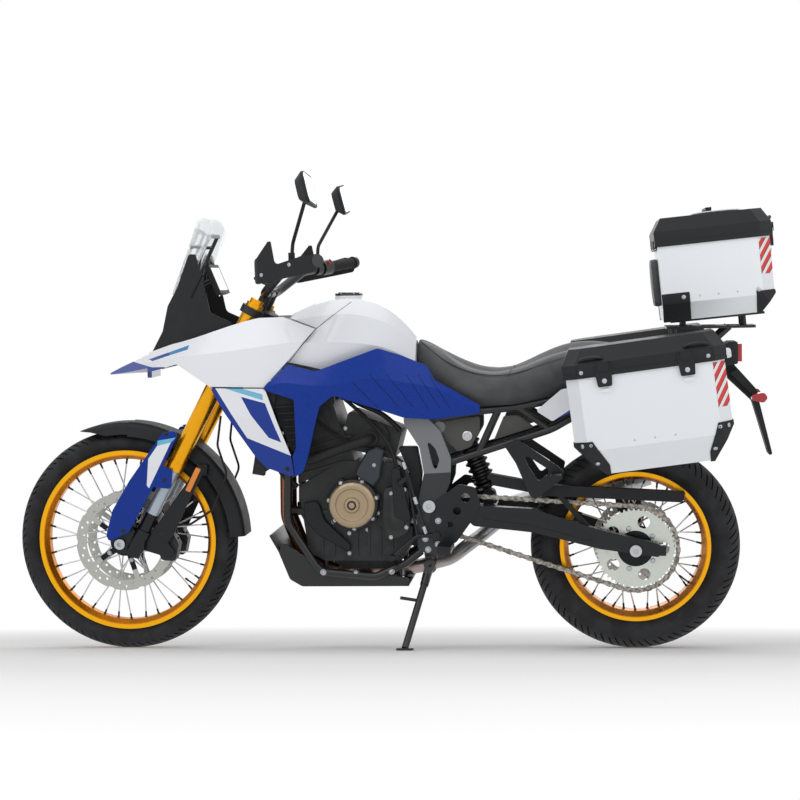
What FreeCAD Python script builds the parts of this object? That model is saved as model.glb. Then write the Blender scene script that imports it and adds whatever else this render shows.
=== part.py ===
import FreeCAD, Part
import math
import os

V = FreeCAD.Vector

# Adventure motorcycle, in millimetres. The pieces are modelled on an upright motorcycle: x runs
# backwards from the front axle, y to the rider's right, z up from the ground under upright tyres.
# At the end every piece is leaned onto the side stand and moved over the middle of its footprint.

# Wheels and axles
wheelbase = 1590.0
front_radius = 347.5
front_tyre_width = 92.0
front_crown = 50.0
front_bead = 266.7
front_flange = 283.0
front_rim_width = 68.0
front_hub_flange = 38.0
rear_radius = 321.0
rear_tyre_width = 150.0
rear_crown = 88.0
rear_bead = 215.9
rear_flange = 230.0
rear_rim_width = 116.0
rear_hub_flange = 55.0
rear_hub_half = 76.0
rim_wall = 4.0
spoke_count = 36
spoke_radius = 2.2
spoke_lean = 62.0
axle_radius = 10.0
running_gap = 0.05
seat_gap = 0.3
lean = 9.25

# Brakes
disc_radius = 155.0
disc_band = 32.0
disc_offset = 62.0
disc_thickness = 4.5
disc_bore = 20.0
rear_disc_radius = 130.0
rear_disc_band = 30.0
rear_disc_y = 92.0
disc_waves = 10
pad_gap = 2.0
hose_radius = 3.5

# Steering and fork
rake = 28.0
leg_offset = 43.0
clamp_offset = 22.0
leg_spacing = 210.0
inner_tube_radius = 21.5
outer_tube_radius = 27.0
outer_tube_low = 283.0
outer_tube_high = 858.0
tube_lap = 110.0
lower_clamp_at = 590.0
upper_clamp_at = 832.0
clamp_height = 34.0
clamp_wall = 9.0
head_radius = 30.0
stem_radius = 15.0
riser_height = 66.0
riser_radius = 17.0
riser_y = 50.0
bar_half = 430.0
bar_radius = 14.3
bar_bend = 70.0
grip_radius = 16.5
grip_length = 125.0
fender_wall = 3.0
fender_clearance = 23.0
guard_wall = 5.0

# Rear suspension and drive
pivot_x = 967.0
pivot_z = 460.0
pivot_radius = 11.0
bolt_head = 9.0
bolt_head_radius = 18.0
socket_corner = 8.5
bolt_reach = 4.0
arm_inner = 108.0
arm_outer = 142.0
arm_tip = 74.0
bridge_tyre_gap = 99.0
bridge_depth = 50.0
shock_eye = 16.0
shock_bolt = 8.0
shock_half = 14.0
ear_thickness = 8.0
spring_radius = 36.0
spring_turns = 7
chain_y = -93.0
chain_pitch = 15.875
chain_plate_height = 14.4
chain_plate_length = 29.0
chain_plate_thickness = 2.2
chain_inner_half = 4.0
roller_radius = 5.08
rear_teeth = 51
front_teeth = 17
front_sprocket_x = 915.0
front_sprocket_z = 455.0
sprocket_thickness = 5.0
tooth_gap = 0.6

# Frame and engine
rail_radius = 20.0
spar_inner = 118.0
spar_outer = 138.0
upper_cross = (1000.0, 700.0, 18.0)
lower_cross = (958.0, 336.0, 16.0)
subframe_y = 125.0
subframe_radius = 11.0
crankcase_half = 112.0
head_half = 116.0
generator_x = 734.0
generator_z = 469.0
radiator_half = 170.0
radiator_height = 250.0
radiator_depth = 26.0
radiator_tank = 30.0
radiator_lean = 10.0
header_radius = 19.0
link_radius = 22.0
silencer_radius = 50.0
silencer_length = 470.0
bar_guard_radius = 12.0
guard_bar_y = 150.0
skid_half = 134.0
skid_wall = 4.0
spar_outline = [(900, 772, 20), (958, 738, 30), (1004, 690, 30), (1036, 604, 30), (1030, 530, 20),
                (1006, 470, 30), (1004, 380, 30), (996, 318, 20), (930, 318, 20), (928, 400, 20),
                (934, 480, 30), (952, 560, 30), (940, 640, 40), (892, 716, 30)]
head_outline = [(548, 640, 10), (700, 694, 10), (672, 782, 16), (640, 800, 20), (560, 770, 24),
                (536, 700, 20)]
radiator_x = 440.0
radiator_z = 575.0

# Bodywork
panel_wall = 4.0
screen_wall = 3.0
screen_rake = 0.38
screen_x = 160.0
screen_z = 1108.0
accessory_bar_radius = 6.35
accessory_bar_half = 76.0
accessory_bar_x = 294.0
accessory_bar_z = 1296.0
display_lean = -22.0
display_thickness = 16.0
display_foot = V(320, 0, 1116)
signal_y = 110.0
tail_outline = [(1296, 748, 6), (1372, 812, 10), (1500, 838, 30), (1880, 930, 10),
                (1884, 900, 6), (1500, 790, 40), (1344, 716, 10)]
tail_inner = 118.0
tail_fixings = ((1390, 786), (1600, 834))
tail_boss = 7.0

# Cases
case_wall = 2.0
lid_wall = 3.0
pannier_length = 451.0
pannier_height = 284.0
pannier_depth = 222.0
pannier_lid_height = 84.0
pannier_tilt = 7.0
pannier_inner = 255.0
pannier_x = 1391.0
pannier_z = 855.0
case_edge_bevel = 36.0
pannier_front_cut = (80.0, 91.0)
pannier_rear_cut = (62.0, 98.0)
pannier_low_bevel = (60.0, 76.0)
top_case_cut = (44.0, 52.0)
top_case_length = 330.0
top_case_width = 404.0
top_case_height = 222.0
top_lid_height = 84.0
top_case_tilt = 5.0
top_case_x = 1682.0
top_case_z = 1010.0
lid_overhang = 8.0
lid_opening = 65.0
hinge_radius = 5.0
hinge_pin = 2.5
hinge_gap = 0.05
knuckle_length = 38.0
corner_guard_wall = 3.0
guard_lap = 12.0
rack_tube = 8.0
rack_arm_radius = 6.0
rack_plate_z = 986.0
rack_plate_thickness = 8.0

# Stand and footrests
stand_pivot = V(967.0, -128.0, 268.0)
stand_stow = V(0.958, -0.24, -0.15)
stand_foot_x = 900.0
stand_foot_y = -300.0
stand_travel = 95.0
stand_plate = 10.0
stand_disc = 18.0
stand_pin = 5.0
peg_end = 300.0
passenger_peg_end = 226.0

sin_rake = math.sin(math.radians(rake))
cos_rake = math.cos(math.radians(rake))
fork_up = V(sin_rake, 0, cos_rake)
steering_behind = leg_offset + clamp_offset
front_hub_half = disc_offset - seat_gap
caliper_outer = -disc_offset - disc_thickness - 26
spar_mid = (spar_inner + spar_outer) / 2
leg_y = -leg_spacing / 2
rear_pitch_radius = chain_pitch / 2 / math.sin(math.pi / rear_teeth)
front_pitch_radius = chain_pitch / 2 / math.sin(math.pi / front_teeth)
tooth_tip = rear_pitch_radius - roller_radius - tooth_gap
bridge_back = wheelbase - rear_radius - bridge_tyre_gap
bridge_front = bridge_back - bridge_depth
rack_y = pannier_inner - rack_tube - seat_gap
hinge_y = -hinge_radius - seat_gap
shock_top = V(1056, 0, 704)
shock_foot = V(bridge_front + bridge_depth / 2, 0, 482)
hanger_inner = subframe_y + subframe_radius + seat_gap
hanger_outer = hanger_inner + 8
rack_arms = ((1474, 762, subframe_y + subframe_radius), (1700, 850, 117))
pannier_size = (pannier_length, pannier_height, pannier_depth)
top_case_size = (top_case_width, top_case_height, top_case_length)
pannier_shape = (pannier_size, pannier_front_cut, pannier_rear_cut, pannier_low_bevel)
top_case_shape = (top_case_size, top_case_cut, top_case_cut, top_case_cut)
front_lift = front_crown * (1 - math.cos(math.radians(lean)))
rear_lift = rear_crown * (1 - math.cos(math.radians(lean)))
pitch = math.degrees(math.atan((rear_lift - front_lift) / wheelbase))
lean_turn = FreeCAD.Rotation(V(1, 0, 0), lean)
pitch_turn = FreeCAD.Rotation(V(0, 1, 0), -pitch)
parked = FreeCAD.Placement(V(0, 0, front_lift), pitch_turn.multiply(lean_turn))
ground_up = parked.inverse().Rotation.multVec(V(0, 0, 1))


def along_fork(distance, behind, y=0.0):
    """A point given by its distance up the fork from the axle and behind the axle's line."""
    x = distance * sin_rake + behind * cos_rake
    z = front_radius + distance * cos_rake - behind * sin_rake
    return V(x, y, z)


def steering_axis_at(distance):
    return along_fork(distance, steering_behind)


def corner_arc(a, b, c, radius, share=0.48):
    """Start, middle and end of the arc that rounds the corner b between a and c."""
    to_a = (a - b).normalize()
    to_c = (c - b).normalize()
    half = to_a.getAngle(to_c) / 2
    reach = min(radius / math.tan(half), share * min((a - b).Length, (c - b).Length))
    rounding = reach * math.tan(half)
    middle = b + (to_a + to_c).normalize() * (rounding / math.sin(half) - rounding)
    return b + to_a * reach, middle, b + to_c * reach


def rounded_wire(corners, place):
    """Closed wire with straight sides, each corner (a, b, radius) turned by a tangent arc."""
    flat = [V(*corner[:2], 0) for corner in corners]
    turns = []
    for i, corner in enumerate(corners):
        radius = corner[2] if len(corner) > 2 else 0.0
        if radius > 0:
            turns.append(corner_arc(flat[i - 1], flat[i], flat[(i + 1) % len(flat)], radius))
        else:
            turns.append((flat[i], None, flat[i]))
    edges = []
    for i, (start, middle, end) in enumerate(turns):
        if middle is not None:
            edges.append(Part.Arc(place(start), place(middle), place(end)).toShape())
        after = turns[(i + 1) % len(turns)][0]
        if (after - end).Length > 1e-6:
            edges.append(Part.makeLine(place(end), place(after)))
    return Part.Wire(edges)


def side_prism(corners, y0, y1, grow=0.0):
    """Side outline of (x, z, radius) corners, grown all round, extruded across from y0 to y1."""
    face = Part.Face(rounded_wire(corners, lambda p: V(p.x, y0, p.y)))
    if grow:
        face = face.makeOffset2D(grow)
    return face.extrude(V(0, y1 - y0, 0))


def plan_prism(corners, z0, z1, grow=0.0):
    """Plan outline of (x, y, radius) corners, grown all round, extruded up from z0 to z1."""
    face = Part.Face(rounded_wire(corners, lambda p: V(p.x, p.y, z0)))
    if grow:
        face = face.makeOffset2D(grow)
    return face.extrude(V(0, 0, z1 - z0))


def cylinder_between(a, b, radius):
    return Part.makeCylinder(radius, (b - a).Length, a, b - a)


def disc_y(x, z, radius, y0, y1):
    return Part.makeCylinder(radius, y1 - y0, V(x, y0, z), V(0, 1, 0))


def mirrored(shape):
    return shape.mirror(V(0, 0, 0), V(0, 1, 0))


def both_sides(shape):
    return Part.makeCompound([shape, mirrored(shape)])


def fused(shapes):
    return shapes[0].multiFuse(shapes[1:]).removeSplitter()


def bent_path(points, bend):
    """Straight runs through the points, joined by tangent arcs of the bend radius."""
    edges = []
    last = points[0]
    for i in range(1, len(points) - 1):
        start, middle, end = corner_arc(points[i - 1], points[i], points[i + 1], bend)
        edges.append(Part.makeLine(last, start))
        edges.append(Part.Arc(start, middle, end).toShape())
        last = end
    edges.append(Part.makeLine(last, points[-1]))
    return Part.Wire(edges)


def tube(points, radius, bend=60.0):
    path = bent_path(points, bend)
    ring = Part.Wire(Part.makeCircle(radius, points[0], points[1] - points[0]))
    return path.makePipeShell([ring], True, False)


def ring_y(profile, x, z, y=0.0):
    """Turned piece about a line along y: the profile holds (radius, y, corner radius)."""
    wire = rounded_wire(profile, lambda p: V(x, y + p.y, z + p.x))
    return Part.Face(wire).revolve(V(x, y, z), V(0, 1, 0), 360)


def smooth_section(x, half):
    """Closed smooth section across the motorcycle at x: half outline (y, z) from top to bottom."""
    right = [V(x, y, z) for y, z in half]
    left = [V(x, -y, z) for y, z in reversed(half) if y > 0]
    curve = Part.BSplineCurve()
    curve.interpolate(right + left, PeriodicFlag=True)
    return Part.Wire(curve.toShape())


def creased_section(x, half):
    """Closed section across the motorcycle at x, with a crease at each point of its half."""
    right = [V(x, y, z) for y, z in half]
    left = [V(x, -y, z) for y, z in reversed(half) if y > 0]
    return Part.makePolygon(right + left + right[:1])


def creased_skin(stations):
    return Part.makeLoft([creased_section(x, half) for x, half in stations], True, False)


def panel_skin(stations, thickness, side=-1):
    """Curved sheet on one side: each station holds x and its outer (y, z) points, top to bottom."""
    wires = []
    for x, line in stations:
        outer = [V(x, side * y, z) for y, z in line]
        inner = [V(x, side * (y - thickness), z) for y, z in reversed(line)]
        wires.append(Part.makePolygon(outer + inner + outer[:1]))
    return Part.makeLoft(wires, True, False)


# Wheels

def tyre(x, z, outer, width, crown, bead, flange, rim_width):
    """Solid tyre section: round crown, sidewalls and a foot that sits between the rim's flanges."""
    half = width / 2
    centre = outer - crown
    edge_half = half - 4
    shoulder = math.acos(min(1.0, edge_half / crown))
    mid_angle = (math.pi / 2 + shoulder) / 2
    foot_half = rim_width / 2 - rim_wall - seat_gap
    top = V(outer, 0, 0)
    arc_mid = V(centre + crown * math.sin(mid_angle), crown * math.cos(mid_angle), 0)
    edge = V(centre + crown * math.sin(shoulder), edge_half, 0)
    foot_top = V(flange + 3, foot_half, 0)
    wall_mid = V((edge.x + foot_top.x) / 2, half, 0)
    foot = V(bead + rim_wall + seat_gap, foot_half, 0)

    def at(p, side=1):
        return V(x, side * p.y, z + p.x)

    edges = [Part.Arc(at(top), at(arc_mid), at(edge)).toShape(),
             Part.Arc(at(edge), at(wall_mid), at(foot_top)).toShape(),
             Part.makeLine(at(foot_top), at(foot)),
             Part.makeLine(at(foot), at(foot, -1)),
             Part.makeLine(at(foot, -1), at(foot_top, -1)),
             Part.Arc(at(foot_top, -1), at(wall_mid, -1), at(edge, -1)).toShape(),
             Part.Arc(at(edge, -1), at(arc_mid, -1), at(top)).toShape()]
    return Part.Face(Part.Wire(edges)).revolve(V(x, 0, z), V(0, 1, 0), 360)


def wheel(x, z, bead, flange, rim_width, hub_half, hub_flange):
    """Rim, hub and crossed wire spokes as one piece with the axle's bore."""
    half = rim_width / 2
    well = bead - 12
    bore = axle_radius + running_gap
    rim = ring_y([(flange, -half), (flange, -half + rim_wall), (bead + rim_wall, -half + rim_wall),
                  (bead + rim_wall, half - rim_wall), (flange, half - rim_wall), (flange, half),
                  (bead, half), (well, half * 0.45, 10), (well, -half * 0.45, 10), (bead, -half)],
                 x, z)
    hub = ring_y([(hub_flange, hub_half - 14), (hub_flange, hub_half - 8), (24, hub_half),
                  (bore, hub_half), (bore, -hub_half), (24, -hub_half),
                  (hub_flange, -hub_half + 8), (hub_flange, -hub_half + 14),
                  (26, -hub_half + 24, 8), (26, hub_half - 24, 8)], x, z)
    pieces = [rim, hub]
    root = hub_flange - 5
    tip = well + 3
    for i in range(spoke_count):
        side = 1 if i % 2 else -1
        lean_way = 1 if (i // 2) % 2 else -1
        rim_angle = 2 * math.pi * i / spoke_count
        hub_angle = rim_angle + lean_way * math.radians(spoke_lean)
        a = V(x + root * math.sin(hub_angle), side * (hub_half - 11), z + root * math.cos(hub_angle))
        b = V(x + tip * math.sin(rim_angle), side * 4, z + tip * math.cos(rim_angle))
        pieces.append(cylinder_between(a, b, spoke_radius))
    return fused(pieces)


def wave_disc(x, z, outer, band, y0, carrier):
    """Brake disc: a drilled band with a scalloped rim on a carrier with slim arms."""
    y1 = y0 + disc_thickness
    inner = outer - band
    body = disc_y(x, z, outer, y0, y1)
    holes = [disc_y(x, z, inner, y0 - 1, y1 + 1)]
    for i in range(disc_waves):
        angle = 2 * math.pi * i / disc_waves
        holes.append(disc_y(x + (outer + 14) * math.cos(angle), z + (outer + 14) * math.sin(angle),
                            18, y0 - 1, y1 + 1))
        for turn, share in ((0.25, 0.3), (0.5, 0.62), (0.75, 0.3)):
            drill = angle + turn * 2 * math.pi / disc_waves
            at = inner + band * share
            holes.append(disc_y(x + at * math.cos(drill), z + at * math.sin(drill), 4, y0 - 1, y1 + 1))
    body = body.cut(Part.makeCompound(holes))
    parts = [body, disc_y(x, z, carrier, y0, y1)]
    for i in range(5):
        arm = Part.makeBox(inner + 6, disc_thickness, 16, V(0, 0, -8))
        arm.rotate(V(0, 0, 0), V(0, 1, 0), 72 * i)
        arm.translate(V(x, y0, z))
        parts.append(arm)
    return fused(parts).cut(disc_y(x, z, disc_bore, y0 - 1, y1 + 1))


def front_tyre():
    return tyre(0, front_radius, front_radius, front_tyre_width, front_crown, front_bead,
                front_flange, front_rim_width)


def rear_tyre():
    return tyre(wheelbase, rear_radius, rear_radius, rear_tyre_width, rear_crown, rear_bead,
                rear_flange, rear_rim_width)


def front_wheel():
    return wheel(0, front_radius, front_bead, front_flange, front_rim_width, front_hub_half,
                 front_hub_flange)


def rear_wheel():
    return wheel(wheelbase, rear_radius, rear_bead, rear_flange, rear_rim_width, rear_hub_half,
                 rear_hub_flange)


def front_discs():
    return both_sides(wave_disc(0, front_radius, disc_radius, disc_band, disc_offset, 46))


def rear_disc():
    disc = wave_disc(wheelbase, rear_radius, rear_disc_radius, rear_disc_band, rear_disc_y, 50)
    carrier = ring_y([(40, rear_hub_half + seat_gap), (40, rear_disc_y), (disc_bore, rear_disc_y),
                      (disc_bore, rear_hub_half + seat_gap)], wheelbase, rear_radius)
    return fused([disc, carrier])


def sprocket():
    """Rear sprocket with one tooth to each chain pitch and five round windows."""
    root = tooth_tip - 7
    points = []
    for i in range(rear_teeth):
        for part, radius in ((-0.3, root), (-0.1, tooth_tip), (0.1, tooth_tip), (0.3, root)):
            angle = 2 * math.pi * (i + part) / rear_teeth
            points.append(V(radius * math.cos(angle), 0, radius * math.sin(angle)))
    y0 = chain_y - sprocket_thickness / 2
    y1 = y0 + sprocket_thickness
    disc = Part.Face(Part.makePolygon(points + points[:1])).extrude(V(0, sprocket_thickness, 0))
    disc.translate(V(wheelbase, y0, rear_radius))
    windows = []
    for i in range(5):
        angle = 2 * math.pi * i / 5
        windows.append(disc_y(wheelbase + 84 * math.cos(angle), rear_radius + 84 * math.sin(angle),
                              19, y0 - 1, y1 + 1))
    disc = disc.cut(Part.makeCompound(windows))
    carrier = disc_y(wheelbase, rear_radius, 58, y1 - 1, -rear_hub_half - seat_gap)
    bore = disc_y(wheelbase, rear_radius, 24, y0 - 1, 0)
    return fused([disc, carrier]).cut(bore)


# Front end

def fork_tubes():
    """Upper fork legs with their caps."""
    low = along_fork(outer_tube_low, leg_offset, leg_y)
    high = along_fork(outer_tube_high, leg_offset, leg_y)
    leg = cylinder_between(low, high, outer_tube_radius)
    bore = cylinder_between(along_fork(outer_tube_low - 1, leg_offset, leg_y),
                            along_fork(outer_tube_low + tube_lap + 10, leg_offset, leg_y),
                            inner_tube_radius + seat_gap)
    seal = cylinder_between(low, along_fork(outer_tube_low + 26, leg_offset, leg_y),
                            outer_tube_radius + 2)
    cap = cylinder_between(high, along_fork(outer_tube_high + 14, leg_offset, leg_y), 21)
    return both_sides(fused([leg, seal, cap]).cut(bore))


def fork_lowers():
    """Inner tubes with the cast feet that clamp the axle and carry calipers, guards and fender."""
    leg = cylinder_between(along_fork(30, leg_offset, leg_y),
                           along_fork(outer_tube_low + tube_lap, leg_offset, leg_y),
                           inner_tube_radius)
    sleeve = cylinder_between(along_fork(-18, leg_offset, leg_y), along_fork(70, leg_offset, leg_y),
                              inner_tube_radius + 6)
    z = front_radius
    lug = side_prism([(-30, z + 12, 20), (-8, z + 66, 14), (38, z + 66, 10), (46, z + 38, 10),
                      (78, z + 34, 12), (74, z - 30, 16), (-4, z - 34, 22)], leg_y - 20, leg_y + 20)
    hanger = side_prism([(60, z + 40, 6), (112, z + 44, 8), (168, z - 30, 8), (150, z - 48, 8),
                         (60, z - 20, 6)], caliper_outer - 12, caliper_outer)
    foot = fused([leg, sleeve, lug, hanger])
    bore = disc_y(0, front_radius, axle_radius + seat_gap, leg_y - 60, leg_y + 60)
    return both_sides(foot.cut(bore))


def front_calipers():
    """Four-piston radial calipers, slotted round the discs."""
    z = front_radius
    body = side_prism([(96, z + 54, 10), (150, z + 48, 14), (178, z - 6, 16), (166, z - 60, 12),
                       (122, z - 56, 12), (104, z - 6, 20)],
                      caliper_outer + seat_gap, -disc_offset + 16)
    bulges = []
    for x, dz in ((146, 24), (152, -30)):
        bulges.append(disc_y(x, z + dz, 19, -disc_offset + 16, -disc_offset + 21))
    slot = disc_y(0, z, disc_radius + 4, -disc_offset - disc_thickness - pad_gap,
                  -disc_offset + pad_gap)
    window = side_prism([(138, z + 16, 4), (172, z + 12, 4), (170, z - 18, 4), (134, z - 14, 4)],
                        -disc_offset - disc_thickness - 8, -disc_offset + 8)
    return both_sides(fused([body] + bulges).cut(slot).cut(window))


def hex_sockets(x, z, y0, y1):
    """Hexagon sockets in both ends of an axle, between two distances from the middle plane."""
    turns = [math.pi / 3 * step for step in range(6)]
    corners = [(x + socket_corner * math.cos(turn), z + socket_corner * math.sin(turn), 0)
               for turn in turns]
    return Part.makeCompound([side_prism(corners, side * y0, side * y1) for side in (-1, 1)])


def front_axle():
    """Axle with its nut and head, just outside the fork's feet."""
    end = -leg_y + 26
    outer = end + 6
    axle = ring_y([(axle_radius, -end), (17, -end, 0), (17, -outer, 2), (0, -outer), (0, outer),
                   (17, outer, 2), (17, end, 0), (axle_radius, end)], 0, front_radius)
    return axle.cut(hex_sockets(0, front_radius, end - 4, outer + 1))


def clamp_plate(distance, height, behind_reach):
    """Fork clamp: a waisted plate across both legs and the stem, square to the fork."""
    half = leg_spacing / 2
    centre = along_fork(distance - height / 2, steering_behind)
    blocks = [Part.makeCylinder(head_radius + 4, height, centre, fork_up)]
    bores = []
    for side in (-1, 1):
        low = along_fork(distance - height / 2, leg_offset, side * half)
        high = along_fork(distance + height / 2, leg_offset, side * half)
        blocks.append(cylinder_between(low, high, outer_tube_radius + clamp_wall))
        bores.append(cylinder_between(low - fork_up, high + fork_up, outer_tube_radius + seat_gap))
    corners = [(-12, -half, 0), (behind_reach, -46, 20), (behind_reach, 46, 20), (-12, half, 0),
               (-clamp_offset - 4, half - 10, 0), (-clamp_offset, 0, 0),
               (-clamp_offset - 4, 10 - half, 0)]
    back = V(cos_rake, 0, -sin_rake)
    wire = rounded_wire(corners, lambda p: centre + back * p.x + V(0, p.y, 0))
    blocks.append(Part.Face(wire).extrude(fork_up * height))
    return fused(blocks).cut(Part.makeCompound(bores))


def triple_clamps():
    """Both fork clamps with the steering stem and the handlebar risers."""
    pieces = [clamp_plate(lower_clamp_at, clamp_height + 6, 38),
              clamp_plate(upper_clamp_at, clamp_height - 10, 38),
              cylinder_between(steering_axis_at(lower_clamp_at), steering_axis_at(upper_clamp_at),
                               stem_radius)]
    for side in (-1, 1):
        base = along_fork(upper_clamp_at + clamp_height / 2 - 6, steering_behind - 12, side * riser_y)
        pieces.append(Part.makeCylinder(riser_radius, riser_height, base, fork_up))
    return fused(pieces).cut(tube(bar_points(), bar_radius + seat_gap, bar_bend))


def bar_points():
    """Wide pulled-back handlebar through the risers."""
    middle = along_fork(upper_clamp_at + clamp_height / 2 + riser_height - 18, steering_behind - 12)
    right = [V(middle.x + dx, y, middle.z + dz)
             for y, dx, dz in ((110, 0, 0), (205, 76, 68), (bar_half, 209, 94))]
    left = [V(p.x, -p.y, p.z) for p in reversed(right)]
    return left + right


def bar_end(side):
    points = bar_points()
    outer, inner = (points[0], points[1]) if side < 0 else (points[-1], points[-2])
    return outer, (inner - outer).normalize()


def handlebar():
    """Handlebar with grips, bar-end weights, switch housings, levers and a brake reservoir."""
    pieces = [tube(bar_points(), bar_radius, bar_bend)]
    for side in (-1, 1):
        end, inward = bar_end(side)
        pieces.append(cylinder_between(end, end + inward * grip_length, grip_radius))
        pieces.append(cylinder_between(end - inward * 14, end, grip_radius + 2))
        switch = end + inward * (grip_length + 2)
        pieces.append(cylinder_between(switch, switch + inward * 44, 24))
        pieces.append(cylinder_between(switch + inward * 22, switch + inward * 22 + V(22, 0, 22), 9))
        perch = switch + inward * 50
        pieces.append(cylinder_between(perch, perch + inward * 26, 20))
        lever_root = perch + inward * 14 + V(-34, 0, -4)
        lever_tip = end + inward * 8 + V(-52, 0, -12)
        pieces.append(cylinder_between(perch + inward * 14, lever_root, 9))
        pieces.append(cylinder_between(lever_root, lever_tip, 6))
        pieces.append(Part.makeSphere(8, lever_tip))
        if side > 0:
            cup = perch + inward * 14 + V(-36, 0, 6)
            pieces.append(Part.makeCylinder(22, 30, cup, V(0, 0, 1)))
            pieces.append(Part.makeCylinder(24, 6, cup + V(0, 0, 30), V(0, 0, 1)))
    return fused(pieces)


def handguards():
    """Wrap-round hand shields with a small wind deflector, held at the bar's end and middle."""
    shields = []
    for side in (-1, 1):
        end, inward = bar_end(side)
        outline = [(end.x - 196, end.z + 4, 20), (end.x - 190, end.z - 66, 14),
                   (end.x + 2, end.z - 30, 12), (end.x + 6, end.z + 16, 10),
                   (end.x - 30, end.z + 18, 10), (end.x - 122, end.z - 8, 12),
                   (end.x - 134, end.z + 60, 3), (end.x - 143, end.z + 60, 3),
                   (end.x - 180, end.z + 12, 8)]
        slab = side_prism(outline, side * 280, side * 480)
        band = plan_prism([(end.x + 8, side * 450, 0), (end.x - 60, side * 448, 60),
                           (end.x - 184, side * 396, 30), (end.x - 206, side * 300, 0),
                           (end.x - 201, side * 299, 0), (end.x - 179, side * 391, 30),
                           (end.x - 60, side * 442, 60), (end.x + 8, side * 445, 0)],
                          end.z - 80, end.z + 90)
        weight = cylinder_between(end - inward * 30, end + inward * 260,
                                  grip_radius + 2 + seat_gap)
        root = end + inward * (grip_length + 111)
        tip = V(end.x - 187, side * 374, end.z - 46)
        arm = tube([root, root + V(-58, side * 8, -40), tip], 6, 25)
        shield = fused([slab.common(band), arm]).cut(weight)
        shields.append(shield.cut(tube(bar_points(), bar_radius + seat_gap, bar_bend)))
    return Part.makeCompound(shields)


def mirrors():
    """Mirror heads on bent stems that screw into the lever perches."""
    pieces = []
    for side in (-1, 1):
        end, inward = bar_end(side)
        base = end + inward * (grip_length + 65) + V(0, 0, 21 + seat_gap)
        top = V(end.x - 36, side * 374, end.z + 179)
        stem = tube([base, base + V(4, 0, 52), top], 5.5, 30)
        boss = Part.makeCylinder(10, 26, base, V(0, 0, 1))
        face = rounded_wire([(-74, -46, 16), (80, -58, 26), (96, 34, 30), (-84, 52, 22)],
                            lambda p: V(26, p.x, p.y))
        back = rounded_wire([(-52, -30, 12), (56, -38, 18), (66, 20, 20), (-58, 32, 14)],
                            lambda p: V(2, p.x, p.y))
        rim = Part.Face(face).extrude(V(8, 0, 0))
        head = fused([Part.makeLoft([back, face], True, True), rim])
        head.rotate(V(0, 0, 0), V(1, 0, 0), 10)
        head.rotate(V(0, 0, 0), V(0, 1, 0), -12)
        if side < 0:
            head = mirrored(head)
        head.translate(V(end.x - 52, side * 388, end.z + 206))
        pieces.append(fused([stem, boss, head]))
    return Part.makeCompound(pieces)


def fender_arch(radius, half, skirt, start, stop):
    """Part of a ring round the tyre, from start to stop degrees behind its top."""
    wire = rounded_wire([(radius, -half, 18), (radius, half, 18), (radius - skirt, half + 8, 0),
                         (radius - skirt, -half - 8, 0)],
                        lambda p: V(0, p.y, front_radius + p.x))
    solid = Part.Face(wire).revolve(V(0, 0, front_radius), V(0, 1, 0), stop - start)
    solid.rotate(V(0, 0, front_radius), V(0, 1, 0), start)
    return solid


def front_fender():
    """Mudguard shell over the tyre with a pointed nose, side brackets and rear reflectors."""
    inner = front_radius + fender_clearance
    outer = inner + fender_wall
    shell = fused([fender_arch(outer, 56, 46, -27, 4), fender_arch(outer + 2, 60, 46, 3, 30),
                   fender_arch(outer + 8, 66, 46, 26, 88)])
    space = ring_y([(inner - 62, -70), (inner, -53, 14), (inner, 53, 14), (inner - 62, 70)],
                   0, front_radius)
    nose = side_prism([(-230, 640, 0), (-150, 694, 0), (-102, 690, 20), (-30, 674, 0),
                       (-30, 560, 0), (-230, 560, 0)], -90, 90)
    z = front_radius
    mount = side_prism([(96, z + 34, 6), (140, z - 8, 8), (166, z + 26, 8),
                        (222, 490, 10), (272, 578, 8), (250, 590, 8), (200, 520, 30)],
                       caliper_outer - 12 - 5 - seat_gap, caliper_outer - 12 - seat_gap)
    block = side_prism([(238, 560, 4), (272, 556, 4), (276, 588, 4), (246, 592, 4)],
                       caliper_outer - 12 - seat_gap - 1, -62)
    bracket = both_sides(fused([mount, block.cut(space)]))
    shell = shell.cut(space).cut(nose)
    return fused([shell] + bracket.Solids)


def fork_guards():
    """Long blade-shaped guards ahead of and beside the lower legs, bolted to foot and tube."""
    z = front_radius
    outline = [(150, z + 349, 10), (188, z + 352, 8), (192, z + 334, 10), (106, z + 164, 20),
               (96, z + 148, 16), (34, z + 40, 12), (-30, z + 10, 10), (-38, z + 30, 12),
               (-16, z + 108, 20), (40, z + 200, 30)]
    y_outer = leg_y - 42
    blade = side_prism(outline, y_outer, y_outer + guard_wall)
    web = side_prism([(150, z + 346, 4), (160, z + 346, 4), (30, z + 172, 10), (-10, z + 92, 20),
                      (-32, z + 26, 4), (-36, z + 36, 4), (-16, z + 108, 20), (40, z + 200, 30)],
                     y_outer + guard_wall - 1, leg_y + 6)
    low_boss = disc_y(15, z + 44, 9, y_outer + guard_wall - 1, leg_y - 20 - seat_gap)
    tab = side_prism([(130, z + 250, 4), (176, z + 232, 10), (170, z + 172, 10), (110, z + 180, 4)],
                     y_outer, y_outer + guard_wall)
    tube_boss = disc_y(152, z + 200, 8, y_outer + guard_wall - 1, leg_y)
    tube_room = cylinder_between(along_fork(0, leg_offset, leg_y),
                                 along_fork(outer_tube_low, leg_offset, leg_y),
                                 inner_tube_radius + seat_gap)
    return both_sides(fused([blade, web, tab, low_boss, tube_boss]).cut(tube_room))


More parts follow.
